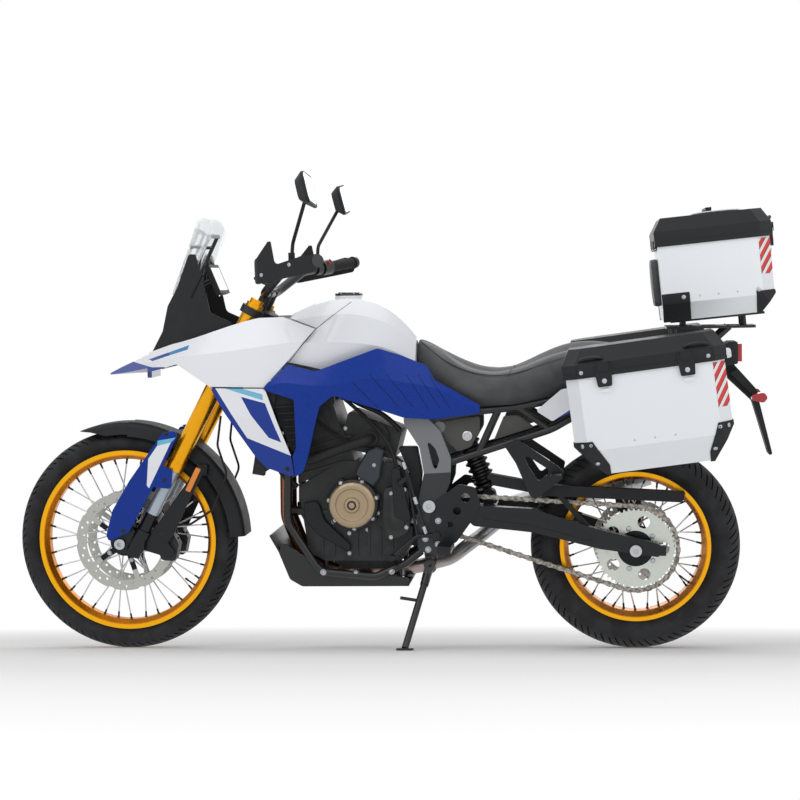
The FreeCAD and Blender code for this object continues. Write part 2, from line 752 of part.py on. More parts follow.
def brake_hoses():
    """Front brake hoses from the lower clamp down to the calipers."""
    hose = tube([V(322, -100, 741), V(310, -106, 650), V(338, -106, 560), V(290, -100, 450),
                 V(214, -92, 402), V(128, -84, front_radius + 50.4 + seat_gap + hose_radius)],
                hose_radius, 40)
    return both_sides(hose)


# Frame, engine and their guards



def spars(grow=0.0):
    return [side_prism(spar_outline, side * spar_inner - (grow if side > 0 else -grow),
                       side * spar_outer + (grow if side > 0 else -grow), grow)
            for side in (-1, 1)]


def main_rail(side, radius):
    """Main tube from the steering head back over the engine to the spar."""
    head = (steering_axis_at(lower_clamp_at) + steering_axis_at(upper_clamp_at)) * 0.5
    return tube([V(head.x + 22, side * 12, head.z - 16), V(head.x + 112, side * 44, 905),
                 V(660, side * spar_mid, 870), V(935, side * spar_mid, 742)], radius, 110)


def rails(radius):
    return [main_rail(side, radius) for side in (-1, 1)]


def main_frame():
    """Steering head, twin main rails, rear spars, cross tubes and the shock's upper ears."""
    low = steering_axis_at(lower_clamp_at + clamp_height / 2 + 5)
    high = steering_axis_at(upper_clamp_at - clamp_height / 2 + 3)
    bore = cylinder_between(steering_axis_at(lower_clamp_at - 50),
                            steering_axis_at(upper_clamp_at + 50), stem_radius + 0.6)
    pieces = [cylinder_between(low, high, head_radius)] + rails(rail_radius) + spars()
    for x, z, radius in (upper_cross, lower_cross):
        pieces.append(disc_y(x, z, radius, -spar_inner - 1, spar_inner + 1))
    for side in (-1, 1):
        y0 = side * (shock_half + seat_gap)
        pieces.append(side_prism([(upper_cross[0] - 10, upper_cross[1] + 16, 6),
                                  (shock_top.x + 18, shock_top.z + 18, 16),
                                  (shock_top.x + 18, shock_top.z - 18, 16),
                                  (upper_cross[0] - 10, upper_cross[1] - 16, 6)],
                                 y0, y0 + side * ear_thickness))
    pin_end = shock_half + seat_gap + ear_thickness + 5
    pieces.append(disc_y(shock_top.x, shock_top.z, shock_bolt, -pin_end, pin_end))
    gusset = side_prism([(960, 668, 6), (990, 634, 20), (1000, 600, 6), (986, 560, 6), (974, 600, 20)],
                        -300, 300)
    frame = fused([fused(pieces).cut(stand_room())] + stand_bracket()).cut(bore).cut(gusset)
    return frame.cut(disc_y(pivot_x, pivot_z, pivot_radius + seat_gap, -200, 200))


def axle_bolts():
    """Rear axle and swingarm pivot bolt with their heads and nuts."""
    bolts = []
    for x, z, radius, end, head in (
            (wheelbase, rear_radius, axle_radius, arm_outer + bolt_reach, bolt_head_radius),
            (pivot_x, pivot_z, pivot_radius, spar_outer + bolt_reach, 19)):
        outer = end + bolt_head
        bolt = ring_y([(radius, -end), (head, -end), (head, -outer), (0, -outer), (0, outer),
                       (head, outer), (head, end), (radius, end)], x, z)
        bolts.append(bolt.cut(hex_sockets(x, z, end + 1, outer + 1)))
    return Part.makeCompound(bolts)


def engine_block():
    """Crankcase, inclined twin cylinders, head, throttle bodies, ribs and mounting lugs."""
    crankcase = side_prism([(560, 520, 30), (590, 318, 40), (640, 290, 30), (880, 290, 30),
                            (912, 350, 20), (912, 520, 30), (880, 590, 40), (700, 600, 20)],
                           -crankcase_half, crankcase_half)
    sump = side_prism([(660, 292, 0), (690, 262, 16), (850, 262, 16), (870, 292, 0)], -85, 8)
    barrels = side_prism([(560, 530, 0), (740, 590, 0), (700, 700, 0), (560, 650, 0)], -104, 104)
    head = side_prism(head_outline, -head_half, head_half)
    cover = side_prism([(566, 764, 10), (652, 796, 10), (640, 822, 12), (590, 812, 12)],
                       -head_half + 8, head_half - 8)
    throttles = side_prism([(688, 640, 10), (860, 600, 12), (884, 690, 12), (720, 752, 12)], -95, 95)
    seam = side_prism([(556, 436, 0), (914, 436, 0), (914, 448, 0), (556, 448, 0)],
                      -crankcase_half - 5, crankcase_half + 5)
    pieces = [crankcase, sump, barrels, head, cover, throttles, seam]
    for x in range(630, 880, 36):
        pieces.append(side_prism([(x, 306, 2), (x + 6, 306, 2), (x + 6, 392, 2), (x, 392, 2)],
                                 -crankcase_half - 5, crankcase_half + 5))
    for step in range(4):
        x, z = 566 + step * 6, 552 + step * 26
        pieces.append(side_prism([(x, z, 2), (x + 146, z + 42, 2), (x + 144, z + 50, 2),
                                  (x - 2, z + 8, 2)], -111, 111))
    for side in (-1, 1):
        pieces.append(disc_y(800, 672, 44, min(side * 90, side * 108), max(side * 90, side * 108)))
        pieces.append(disc_y(640, 742, 30, min(side * 112, side * 122), max(side * 112, side * 122)))
        pieces.append(side_prism([(900, 400, 10), (lower_cross[0] + 14, 376, 14),
                                  (lower_cross[0] + 14, 330, 14), (900, 330, 10)],
                                 side * 46, side * 70))
        pieces.append(side_prism([(632, 780, 4), (680, 770, 8), (676, 872, 10), (640, 880, 10)],
                                 side * 100, side * head_half))
    pieces.append(disc_y(790, 668, 22, -121 + seat_gap, -90))
    pieces.append(disc_y(880, 540, 11, -152, -100))
    for y in (-60, 60):
        pieces.append(Part.makeCylinder(14, 40, V(532, y, 440), V(1, 0, 0)).common(
            disc_y(generator_x, 440, 240, -100, 100)))
    pocket = disc_y(front_sprocket_x, front_sprocket_z, front_pitch_radius + 18, -120, -78)
    cross = disc_y(lower_cross[0], lower_cross[1], lower_cross[2] + seat_gap, -200, 200)
    cutters = [pocket, cross] + rails(rail_radius + seat_gap) + spars(seat_gap)
    return fused(pieces).cut(Part.makeCompound(cutters))


def engine_cover(x, z, side, profile):
    """Turned cover on a side of the crankcase: (radius, height, corner radius) from its edge in."""
    face = crankcase_half + 5 + seat_gap
    turned = [(0, side * face)]
    for radius, height, rounding in profile:
        turned.append((radius, side * (face + height), rounding))
    return ring_y(turned, x, z)


def engine_covers():
    """Generator, sprocket, clutch and water pump covers on the crankcase."""
    generator = engine_cover(generator_x, generator_z, -1,
                             [(78, 0, 0), (78, 40, 6), (70, 44, 2), (70, 54, 6), (58, 61, 4),
                              (50, 61, 0), (48, 57, 0), (24, 57, 0), (22, 65, 3), (0, 65, 0)])
    bolts = []
    for i in range(7):
        angle = 2 * math.pi * (i + 0.3) / 7
        bolts.append(engine_cover(generator_x + 76 * math.cos(angle),
                                  generator_z + 76 * math.sin(angle), -1,
                                  [(11, 0, 0), (11, 28, 3), (0, 28, 0)]))
    y = -crankcase_half - 5 - seat_gap
    sprocket_cover = side_prism([(830, 516, 20), (904, 528, 24), (906, 384, 30), (838, 348, 30),
                                 (824, 420, 10)], y - 26, y)
    sprocket_cover = sprocket_cover.fuse(side_prism([(846, 496, 14), (888, 502, 14), (890, 400, 16),
                                                     (850, 384, 16)], y - 33, y - 20))
    clutch = engine_cover(800, 440, 1, [(94, 0, 0), (94, 34, 8), (84, 42, 6), (80, 58, 14),
                                        (0, 58, 0)])
    pump = engine_cover(690, 400, 1, [(42, 0, 0), (42, 40, 8), (0, 40, 0)])
    generator = fused([generator] + bolts)
    room = disc_y(generator_x, generator_z, 89 + seat_gap, -200, 0)
    return Part.makeCompound([generator, sprocket_cover.cut(room), fused([clutch, pump])])


def radiator():
    """Radiator core with side tanks, leaned with the fork, its hose stub and top mounts."""
    core = Part.makeBox(radiator_depth, 2 * radiator_half, radiator_height, V(0, -radiator_half, 0))
    pieces = [core]
    for y in (-radiator_half - radiator_tank, radiator_half):
        pieces.append(Part.makeBox(radiator_depth + 10, radiator_tank, radiator_height + 12,
                                   V(-5, y, -6)))
    body = fused(pieces)
    body.rotate(V(0, 0, 0), V(0, 1, 0), radiator_lean)
    body.translate(V(radiator_x, 0, radiator_z))
    stub = cylinder_between(V(radiator_x + 30, -185, 600), V(radiator_x + 58, -185, 600), 11)
    tabs = []
    for side in (-1, 1):
        tabs.append(side_prism([(484, 808, 4), (506, 808, 4), (548, 884, 6), (518, 900, 6)],
                               side * 52, side * 66))
    return fused([body, stub] + tabs).cut(Part.makeCompound(rails(rail_radius + seat_gap)))


def coolant_hose():
    return tube([V(radiator_x + 58 + seat_gap, -185, 600), V(545, -185, 600),
                 V(620, -178, 612), V(700, -168, 640), V(789, -170, 668), V(790, -121, 668)], 14, 44)


def exhaust():
    """Two header pipes into a collector, a link pipe and the silencer on the right."""
    headers = []
    for y in (-45, 45):
        headers.append(tube([V(548, y, 692), V(514, y, 648), V(512, y, 420),
                             V(562, y * 0.8 + 8, 286), V(650, y * 0.2 + 40, 246)],
                            header_radius, 80))
    foot = V(1180, 202, 392)
    axis = (V(1720, 208, 560) - foot).normalize()
    link = tube([V(640, 40, 245), V(900, 44, 245), V(1010, 124, 262), V(1110, 184, 330),
                 foot + axis * 12], link_radius, 120)
    silencer = cylinder_between(foot, foot + axis * silencer_length, silencer_radius)
    end_cap = cylinder_between(foot + axis * (silencer_length - 40),
                               foot + axis * (silencer_length + 6), silencer_radius + 3)
    tip = cylinder_between(foot + axis * silencer_length, foot + axis * (silencer_length + 22), 24)
    outlet = cylinder_between(foot + axis * (silencer_length - 60),
                              foot + axis * (silencer_length + 30), 20)
    lug = side_prism([(1285, 440, 6), (1315, 440, 6), (1315, 512, 6), (1285, 512, 6)],
                     hanger_outer + seat_gap, 166)
    pipes = fused(headers + [link, silencer, end_cap, tip, lug])
    return pipes.cut(outlet).cut(side_prism(head_outline, -head_half, head_half, seat_gap))


def belly_guard():
    """Crash bars on both sides and the folded belly plate between them, bolted to the engine."""
    profile = [(470, 372, 10), (498, 322, 10), (532, 236, 20), (570, 214, 20), (900, 214, 20),
               (900, 214 + skid_wall, 4), (572, 214 + skid_wall, 18), (536, 240, 18),
               (502, 324, 8), (476, 376, 4)]
    plate = side_prism(profile, -skid_half, skid_half)
    slots = []
    for x in (620, 700, 780, 860):
        slots.append(plan_prism([(x - 9, -60, 8), (x + 9, -60, 8), (x + 9, 60, 8), (x - 9, 60, 8)],
                                200, 230))
    plate = plate.cut(Part.makeCompound(slots))
    pieces = [plate]
    wall = [(500, 322, 10), (533, 238, 20), (570, 216, 20), (896, 216, 20), (900, 240, 10),
            (640, 272, 40), (590, 300, 30), (512, 352, 10)]
    for side in (-1, 1):
        pieces.append(side_prism(wall, side * (skid_half - skid_wall), side * skid_half))
        pieces.append(Part.makeCylinder(8, 290 - seat_gap - 216, V(640, side * 98, 216)))
        pieces.append(Part.makeCylinder(8, 290 - seat_gap - 216, V(870, side * 98, 216)))
        y = side * guard_bar_y
        pieces.append(tube([V(536, y, 572), V(532, y, 413), V(628, y, 262), V(800, y, 246),
                            V(890, side * 140, 284), V(940, side * 128, 322)],
                           bar_guard_radius, 60))
        pieces.append(disc_y(720, 250, 8, min(side * (skid_half - 2), side * (guard_bar_y - 4)),
                             max(side * (skid_half - 2), side * (guard_bar_y - 4))))
        pieces.append(disc_y(548, 560, 9, min(side * (head_half + 1), y), max(side * (head_half + 1), y)))
    return fused(pieces).cut(Part.makeCompound(spars(seat_gap)))


def arm_outline():
    """Side outline of the swingarm's long box arm back to the axle."""
    x, z = wheelbase, rear_radius
    return [(1090, 462, 20), (1282, 450, 60), (x - 106, z + 63, 40), (x + 50, z + 25, 10),
            (x + arm_tip, z + 17, 10), (x + arm_tip, z - 21, 10), (x - 106, z + 5, 30),
            (1282, 378, 60), (1090, 400, 20)]


def swingarm():
    """Swingarm with a pivot tube, cranked box arms, a bridge, shock ears and chain adjusters."""
    pieces = [disc_y(pivot_x, pivot_z, 24, -spar_inner + seat_gap, spar_inner - seat_gap)]
    for side in (-1, 1):
        pieces.append(side_prism([(946, 474, 10), (1150, 458, 10), (1150, 396, 10), (960, 424, 10)],
                                 side * 66, side * 104))
        arm = side_prism(arm_outline(), side * arm_inner, side * arm_outer)
        groove = side_prism([(1130, 440, 10), (1282, 430, 50), (wheelbase - 130, rear_radius + 48, 10),
                             (wheelbase - 132, rear_radius + 28, 10), (1282, 398, 50),
                             (1130, 420, 10)], side * (arm_outer - 3), side * (arm_outer + 1))
        pieces.append(arm.cut(groove))
        pieces.append(side_prism([(1090, 458, 6), (1148, 458, 6), (1148, 402, 6), (1090, 402, 6)],
                                 side * 100, side * (arm_inner + 2)))
        pieces.append(side_prism([(shock_foot.x - 24, 456, 4), (shock_foot.x - 16, 498, 15),
                                  (shock_foot.x + 16, 498, 15), (shock_foot.x + 24, 456, 4)],
                                 side * (shock_half + seat_gap),
                                 side * (shock_half + seat_gap + ear_thickness)))
        pieces.append(Part.makeBox(18, arm_outer - arm_inner - 10, 30,
                                   V(wheelbase + arm_tip - 1,
                                     side * (arm_inner + arm_outer) / 2
                                     - (arm_outer - arm_inner - 10) / 2, rear_radius - 17)))
    pieces.append(side_prism([(bridge_front, 460, 12), (bridge_back, 458, 12),
                              (bridge_back, 400, 12), (bridge_front, 402, 12)], -80, 80))
    pin_end = shock_half + seat_gap + ear_thickness + 5
    pieces.append(disc_y(shock_foot.x, shock_foot.z, shock_bolt, -pin_end, pin_end))
    arm = fused(pieces)
    arm = arm.cut(disc_y(wheelbase, rear_radius, axle_radius + seat_gap, -200, 200))
    return arm.cut(disc_y(pivot_x, pivot_z, pivot_radius + seat_gap, -200, 200))


def chain_runs():
    """Both wrap arcs and straight runs of the chain as one closed path in the chain's plane."""
    rear = V(wheelbase, 0, rear_radius)
    front = V(front_sprocket_x, 0, front_sprocket_z)
    span = front - rear
    base = math.atan2(span.z, span.x)
    spread = math.acos((rear_pitch_radius - front_pitch_radius) / span.Length)

    def on(centre, radius, angle):
        return V(centre.x + radius * math.cos(angle), chain_y, centre.z + radius * math.sin(angle))

    rear_top = on(rear, rear_pitch_radius, base - spread)
    rear_low = on(rear, rear_pitch_radius, base + spread)
    front_top = on(front, front_pitch_radius, base - spread)
    front_low = on(front, front_pitch_radius, base + spread)
    back = on(rear, rear_pitch_radius, base + math.pi)
    nose = on(front, front_pitch_radius, base)
    return Part.Wire([Part.Arc(rear_top, back, rear_low).toShape(),
                      Part.makeLine(rear_low, front_low),
                      Part.Arc(front_low, nose, front_top).toShape(),
                      Part.makeLine(front_top, rear_top)])


def chain():
    """Roller chain: two inner plate bands, six-sided outer plates and rollers at each pitch."""
    path = chain_runs()
    links = 2 * round(path.Length / chain_pitch / 2)
    stations = path.discretize(links + 1)[:-1]
    band_half = chain_plate_height / 2 - 1.6
    outer = Part.Face(path.makeOffset2D(band_half))
    inner = Part.Face(path.makeOffset2D(-band_half))
    ring = outer.cut(inner)
    band_y = chain_inner_half + chain_plate_thickness
    solids = []
    for y in (-band_y, chain_inner_half):
        band = ring.extrude(V(0, chain_plate_thickness, 0))
        band.translate(V(0, y, 0))
        solids.append(band)
    long_half = chain_plate_length / 2
    flat_half = chain_pitch / 2 - 2
    tall = chain_plate_height / 2
    shape = [(-long_half, 0), (-flat_half, tall), (flat_half, tall), (long_half, 0),
             (flat_half, -tall), (-flat_half, -tall)]
    for i in range(0, links, 2):
        a = stations[i]
        b = stations[(i + 1) % links]
        way = (b - a).normalize()
        up = V(-way.z, 0, way.x)
        middle = (a + b) * 0.5
        for side in (-1, 1):
            corners = [middle + way * p + up * q + V(0, side * band_y, 0) for p, q in shape]
            plate = Part.Face(Part.makePolygon(corners + corners[:1]))
            solids.append(plate.extrude(V(0, side * chain_plate_thickness, 0)))
        for end in (a, b):
            corners = [end + way * (roller_radius * 0.9 * math.cos(math.pi * k / 3))
                       + up * (roller_radius * 0.9 * math.sin(math.pi * k / 3))
                       - V(0, chain_inner_half, 0) for k in range(6)]
            roller = Part.Face(Part.makePolygon(corners + corners[:1]))
            solids.append(roller.extrude(V(0, 2 * chain_inner_half, 0)))
    return fused(solids)


def chain_guard():
    """Slim guard over the chain, on a strut from the swingarm."""
    x, z = wheelbase, rear_radius
    blade = side_prism([(1150, 556, 8), (1330, 520, 20), (x + 150, z + 173, 8),
                        (x + 152, z + 165, 4), (1330, 508, 20), (1140, 540, 8)], -118, -76)
    skirt = side_prism([(1150, 552, 8), (1330, 516, 20), (x + 150, z + 172, 8),
                        (x + 146, z + 142, 20), (1330, 486, 30), (1160, 520, 12)], -118, -114)
    strut = side_prism([(1330, 512, 4), (1352, 510, 4), (x - 108, z + 40, 4), (x - 130, z + 40, 4)],
                       -118, -110)
    arm = side_prism(arm_outline(), -arm_outer - 1, -arm_inner + 1, seat_gap)
    return fused([blade, skirt, strut]).cut(arm)


def rear_caliper():
    """Single-piston rear caliper slotted over the disc, on its bracket from the axle."""
    x, z = wheelbase, rear_radius
    y0 = rear_disc_y - 22
    y1 = arm_inner - seat_gap
    body = side_prism([(x - 60, z + 150, 12), (x + 20, z + 152, 12), (x + 24, z + 96, 10),
                       (x - 52, z + 92, 10)], y0, y1 + 20)
    piston = disc_y(x - 18, z + 122, 21, y0 - 16, y0 + 1)
    bracket = side_prism([(x - 24, z, 0), (x + 24, z, 0), (x + 22, z + 97, 4), (x - 48, z + 97, 4)],
                         rear_disc_y + disc_thickness + pad_gap, y1)
    ring = disc_y(x, z, 24, rear_disc_y + disc_thickness + pad_gap, y1)
    slot = disc_y(x, z, rear_disc_radius + 4, rear_disc_y - pad_gap,
                  rear_disc_y + disc_thickness + pad_gap)
    caliper = fused([body, piston, bracket, ring]).cut(slot)
    return caliper.cut(disc_y(x, z, axle_radius + seat_gap, y0 - 50, y1 + 50))


def shock():
    """Rear spring and damper between the swingarm's ears and the frame's."""
    way = (shock_top - shock_foot).normalize()
    length = (shock_top - shock_foot).Length
    low, high = 34.0, length - 58.0
    pitch = (high - low) / spring_turns
    corners = [(0, 8), (13, 8), (13, 20), (30, 20), (38, 28), (38, low)]
    for turn in range(spring_turns):
        at = low + pitch * turn
        corners += [(spring_radius - 9, at + pitch * 0.1), (spring_radius, at + pitch * 0.38),
                    (spring_radius, at + pitch * 0.62), (spring_radius - 9, at + pitch * 0.9)]
    corners += [(38, high), (38, high + 10), (26, high + 16), (26, length - 23), (13, length - 23),
                (13, length - 8), (0, length - 8)]
    wire = Part.makePolygon([V(r, 0, h) for r, h in corners + corners[:1]])
    body = Part.Face(wire).revolve(V(0, 0, 0), V(0, 0, 1), 360)
    body.rotate(V(0, 0, 0), V(0, 1, 0), math.degrees(math.atan2(way.x, way.z)))
    body.translate(shock_foot)
    eyes = [disc_y(p.x, p.z, shock_eye, -shock_half, shock_half) for p in (shock_foot, shock_top)]
    bores = [disc_y(p.x, p.z, shock_bolt + seat_gap, -60, 60) for p in (shock_foot, shock_top)]
    return fused([body] + eyes).cut(Part.makeCompound(bores))


def upper_rail(side, radius):
    y = side * subframe_y
    return tube([V(985, y, 724), V(1130, y, 748), V(1240, y, 758), V(1500, y * 0.96, 806),
                 V(1760, y * 0.8, 868)], radius, 200)


def trellis(radius):
    """Round tubes from the main frame back under the seat, all of one radius."""
    tubes = []
    for side in (-1, 1):
        y = side * subframe_y
        lower = [V(1010, y, 586), V(1342, y, 690), V(1560, y * 0.96, 812)]
        tubes.append(upper_rail(side, radius))
        tubes.append(tube(lower, radius, 200))
        tubes.append(cylinder_between(V(1239, y, 758), V(1337, y, 690), radius - 1))
        tubes.append(cylinder_between(V(1180, y, 752), V(1118, y, 620), radius - 1))
    for x, z in ((1180, 752), (1500, 806)):
        tubes.append(disc_y(x, z, radius - 2, -subframe_y * 0.96, subframe_y * 0.96))
    return tubes


def subframe():
    cross = disc_y(upper_cross[0], upper_cross[1], upper_cross[2] + seat_gap, -300, 300)
    return fused(trellis(subframe_radius)).cut(Part.makeCompound(spars(seat_gap) + [cross]))


# Bodywork

def tank_stations():
    """Tank sections: top, shoulder, side crease, widest line, tuck and bottom at each x."""
    return [(548, [(0, 1052), (70, 1049), (132, 1036), (196, 966), (184, 908), (0, 905)]),
            (620, [(0, 1084), (76, 1078), (146, 1042), (204, 966), (186, 892), (0, 888)]),
            (700, [(0, 1101), (82, 1094), (152, 1050), (198, 966), (168, 868), (0, 860)]),
            (790, [(0, 1094), (80, 1086), (138, 1040), (174, 958), (140, 832), (0, 818)]),
            (880, [(0, 1040), (62, 1032), (104, 996), (138, 928), (118, 800), (0, 786)]),
            (950, [(0, 950), (48, 944), (80, 918), (112, 874), (100, 800), (0, 790)])]


def fuel_tank():
    """Fuel tank with creased flanks, a knee recess and a filler cap, notched over the rails."""
    room = side_prism([(930, 1100, 0), (930, 872, 20), (952, 780, 0), (1000, 780, 0),
                       (1000, 1100, 0)], -200, 200)
    cap = Part.makeCylinder(44, 22, V(716, 0, 1088), V(0.02, 0, 1))
    rim = Part.makeCylinder(34, 26, V(716, 0, 1088), V(0.02, 0, 1))
    body = fused([creased_skin(tank_stations()), cap, rim])
    cutters = [room] + rails(rail_radius + seat_gap) + spars(seat_gap)
    return body.cut(Part.makeCompound(cutters))


def seat():
    """Stepped seat from the tank's tail up to the passenger's place."""
    sections = [(934, [(0, 966), (30, 962), (52, 930), (60, 900), (40, 880), (0, 876)]),
                (1000, [(0, 932), (70, 922), (104, 880), (110, 836), (80, 800), (0, 796)]),
                (1100, [(0, 874), (110, 868), (144, 838), (146, 796), (120, 764), (0, 762)]),
                (1210, [(0, 864), (120, 860), (156, 834), (158, 790), (130, 764), (0, 762)]),
                (1340, [(0, 910), (116, 904), (146, 872), (148, 820), (120, 782), (0, 780)]),
                (1500, [(0, 936), (100, 930), (128, 904), (132, 862), (100, 816), (0, 812)]),
                (1640, [(0, 940), (80, 934), (104, 914), (106, 892), (80, 852), (0, 850)])]
    cushion = Part.makeLoft([smooth_section(x, half) for x, half in sections], True, False)
    tail_room = side_prism(tail_outline, -200, 200, seat_gap)
    core = Part.makeBox(700, 2 * (tail_inner - seat_gap), 400, V(1280, seat_gap - tail_inner, 700))
    cutters = trellis(subframe_radius + seat_gap) + [tail_room.cut(core)]
    for x, z in tail_fixings:
        cutters.append(disc_y(x, z, tail_boss + seat_gap, -200, 200))
    return cushion.cut(Part.makeCompound(cutters))


def cowl_stations(inset):
    """Flank of the nose cowl from its white top edge down past its lower edge."""
    lines = [(96, [(68, 952), (104, 908), (98, 850)]),
             (200, [(128, 970), (154, 926), (152, 820)]),
             (300, [(153, 998), (176, 936), (184, 800)]),
             (420, [(157, 1034), (194, 950), (204, 790)]),
             (548, [(154, 1052), (210, 966), (212, 800)]),
             (646, [(160, 1052), (214, 966), (196, 860)])]
    return [(x, [(y - inset, z) for y, z in line]) for x, line in lines]


def nose_cowl():
    """White beak and cowl flanks round the fork, with bosses for the front stay."""
    outline = [(-55, 869, 3), (21, 905, 30), (102, 941, 20), (370, 1025, 60), (439, 1042, 40),
               (536, 1044, 8), (640, 1008, 8), (548, 908, 8), (476, 833, 6), (306, 836, 6), (256, 868, 10),
               (199, 905, 12), (154, 892, 20), (89, 877, 20)]
    beak = creased_skin([(-56, [(0, 874), (8, 872), (14, 868), (0, 864)]),
                         (20, [(0, 908), (34, 903), (58, 878), (0, 866)]),
                         (96, [(0, 942), (68, 934), (104, 892), (0, 862)])])
    keel = side_prism([(86, 860, 0), (100, 860, 0), (100, 928, 6), (86, 930, 4)], -62, 62)
    pieces = [beak.common(side_prism(outline, -300, 300)), keel]
    slab = side_prism(outline, -300, 300).common(Part.makeBox(560, 600, 400, V(95, -300, 700)))
    for side in (-1, 1):
        pieces.append(panel_skin(cowl_stations(0), panel_wall, side).common(slab))
    return fused(pieces)


def lamp_cowl_plan(inset, z0, z1):
    """Plan shape of the headlamp housing, or of its hollow when inset by the wall."""
    front = 90 if inset == 0 else 176
    return plan_prism([(front, -62 + inset * 0.3, 30), (front, 62 - inset * 0.3, 30),
                       (230, 126 - inset, 60), (374, 140 - inset, 4), (374, inset - 140, 4),
                       (230, inset - 126, 60)], z0, z1)


def lamp_outlines(grow=0.0):
    """Upper and lower headlamp in the side view, as solids across the nose."""
    upper = side_prism([(136, 1008, 4), (158, 1072, 4), (182, 1066, 4), (160, 1002, 4)],
                       -40 - grow, 40 + grow, grow)
    lower = side_prism([(108, 956, 4), (134, 1000, 4), (156, 990, 4), (130, 946, 4)],
                       -40 - grow, 40 + grow, grow)
    return [upper, lower]


def headlamp_cowl():
    """Black headlamp housing ahead of the steering head, an open shell behind its lamps."""
    outline = [(98, 930, 6), (143, 1004, 20), (163, 1082, 20), (199, 1141, 20), (240, 1240, 8),
               (262, 1240, 6), (292, 1120, 60), (304, 1060, 20), (368, 1030, 8), (372, 1010, 4)]
    slab = side_prism(outline, -150, 150)
    shell = slab.common(lamp_cowl_plan(0, 900, 1300)).cut(lamp_cowl_plan(panel_wall, 900, 1300))
    pockets = []
    for pocket in lamp_outlines(seat_gap):
        pockets.append(pocket)
        ahead = pocket.copy()
        ahead.translate(V(-18, 0, 0))
        pockets.append(ahead)
    shell = shell.cut(Part.makeCompound(pockets))
    sheet = screen_block(-seat_gap).cut(screen_block(screen_wall + seat_gap))
    kept = shell.cut(sheet)
    return max(kept.Solids, key=lambda solid: solid.Volume)


def headlamps():
    return Part.makeCompound(lamp_outlines())


def screen_block(inset):
    """Solid inside the windscreen's outer face, or its inner one when inset by the wall."""
    block = plan_prism([(0, -54, 60), (0, 54, 60), (74, 124, 50), (124, 140, 0), (124, -140, 0),
                        (74, -124, 50)], 0, 300, -inset)
    shear = FreeCAD.Matrix()
    shear.A13 = screen_rake
    block = block.transformGeometry(shear)
    block.translate(V(screen_x, 0, screen_z))
    return block


def windscreen():
    """Curved clear screen: a leaned bow of sheet with a cut outline."""
    outline = [(150, 1118, 0), (196, 1240, 0), (246, 1352, 10), (296, 1350, 20), (316, 1300, 40),
               (262, 1200, 40), (216, 1118, 10)]
    sheet = screen_block(0.0).cut(screen_block(screen_wall))
    return sheet.common(side_prism(outline, -160, 160))


def front_stay():
    """Bracket from the steering head that carries cowl, headlamps, screen, display and bar."""
    head = steering_axis_at((lower_clamp_at + upper_clamp_at) / 2 + 4)
    spine = side_prism([(head.x, head.z - 22, 0), (head.x, head.z + 22, 0), (262, 1012, 16),
                        (228, 1012, 8), (228, 966, 8), (262, 958, 16)], -20, 20)
    cross = disc_y(242, 990, 10, -160, 160).common(lamp_cowl_plan(panel_wall + seat_gap, 900, 1300))
    low_cross = disc_y(246, 940, 9, -200, 200)
    room = panel_room(panel_wall + seat_gap)
    low_cross = low_cross.common(room)
    web = side_prism([(236, 936, 4), (262, 936, 4), (262, 1000, 4), (236, 1000, 4)], -12, 12)
    pieces = [spine, cross, low_cross, web]
    ex = V(math.cos(math.radians(display_lean)), 0, -math.sin(math.radians(display_lean)))
    ez = V(-ex.z, 0, ex.x)
    face = display_foot + ex * (-display_thickness / 2 - seat_gap) + ez * 50
    screen_room = screen_block(screen_wall + seat_gap)
    for side in (-1, 1):
        pieces.append(tube([V(242, side * 60, 985), V(242, side * 60, 1126), V(262, side * 62, 1230),
                            V(accessory_bar_x, side * 62, accessory_bar_z)], 6, 40))
        seat_point = face + V(0, side * 60, 0)
        pieces.append(cylinder_between(seat_point, seat_point - ex * 66, 5))
        for z, x in ((1176, 252), (1262, 276)):
            boss = cylinder_between(V(x, side * 61, z), V(x - 100, side * 61, z), 5)
            pieces.append(boss.common(screen_room))
    pieces.append(disc_y(accessory_bar_x, accessory_bar_z, accessory_bar_radius,
                         -accessory_bar_half, accessory_bar_half))
    stay = fused(pieces)
    return stay.cut(cylinder_between(steering_axis_at(lower_clamp_at), steering_axis_at(upper_clamp_at),
                                     head_radius + seat_gap))


def panel_room(inset):
    """Space between the flanks of the nose cowl, inset from their outer faces."""
    stations = []
    for x, line in cowl_stations(inset):
        stations.append((x, [(0, line[0][1])] + line + [(0, line[-1][1])]))
    return creased_skin(stations)


def display():
    """Instrument panel with a shallow hood."""
    half = display_thickness / 2
    screen = Part.makeBox(display_thickness, 150, 96, V(-half, -75, 0))
    window = Part.makeBox(2, 134, 78, V(half - 1, -67, 9))
    screen = screen.cut(window)
    screen.rotate(V(0, 0, 0), V(0, 1, 0), display_lean)
    screen.translate(display_foot)
    return screen


def wing_panels():
    """White radiator shrouds that flare out beside the fork, on bosses at the radiator."""
    outline = [(309, 832, 4), (351, 762, 30), (451, 619, 20), (480, 590, 14),
               (566, 559, 10), (558, 625, 12), (484, 822, 6), (475, 829, 4)]
    slab = side_prism(outline, -260, -120)
    stations = [(240, [(158, 880), (164, 780), (150, 540)]),
                (340, [(190, 880), (204, 760), (188, 540)]),
                (450, [(208, 880), (224, 740), (206, 540)]),
                (580, [(222, 880), (236, 720), (216, 540)])]
    tank_y = -radiator_half - radiator_tank
    boss = disc_y(radiator_x + 36, 700, 8, tank_y - 30, tank_y - seat_gap)
    boss = boss.common(panel_skin(stations, 40))
    return both_sides(fused([panel_skin(stations, panel_wall).common(slab), boss]))


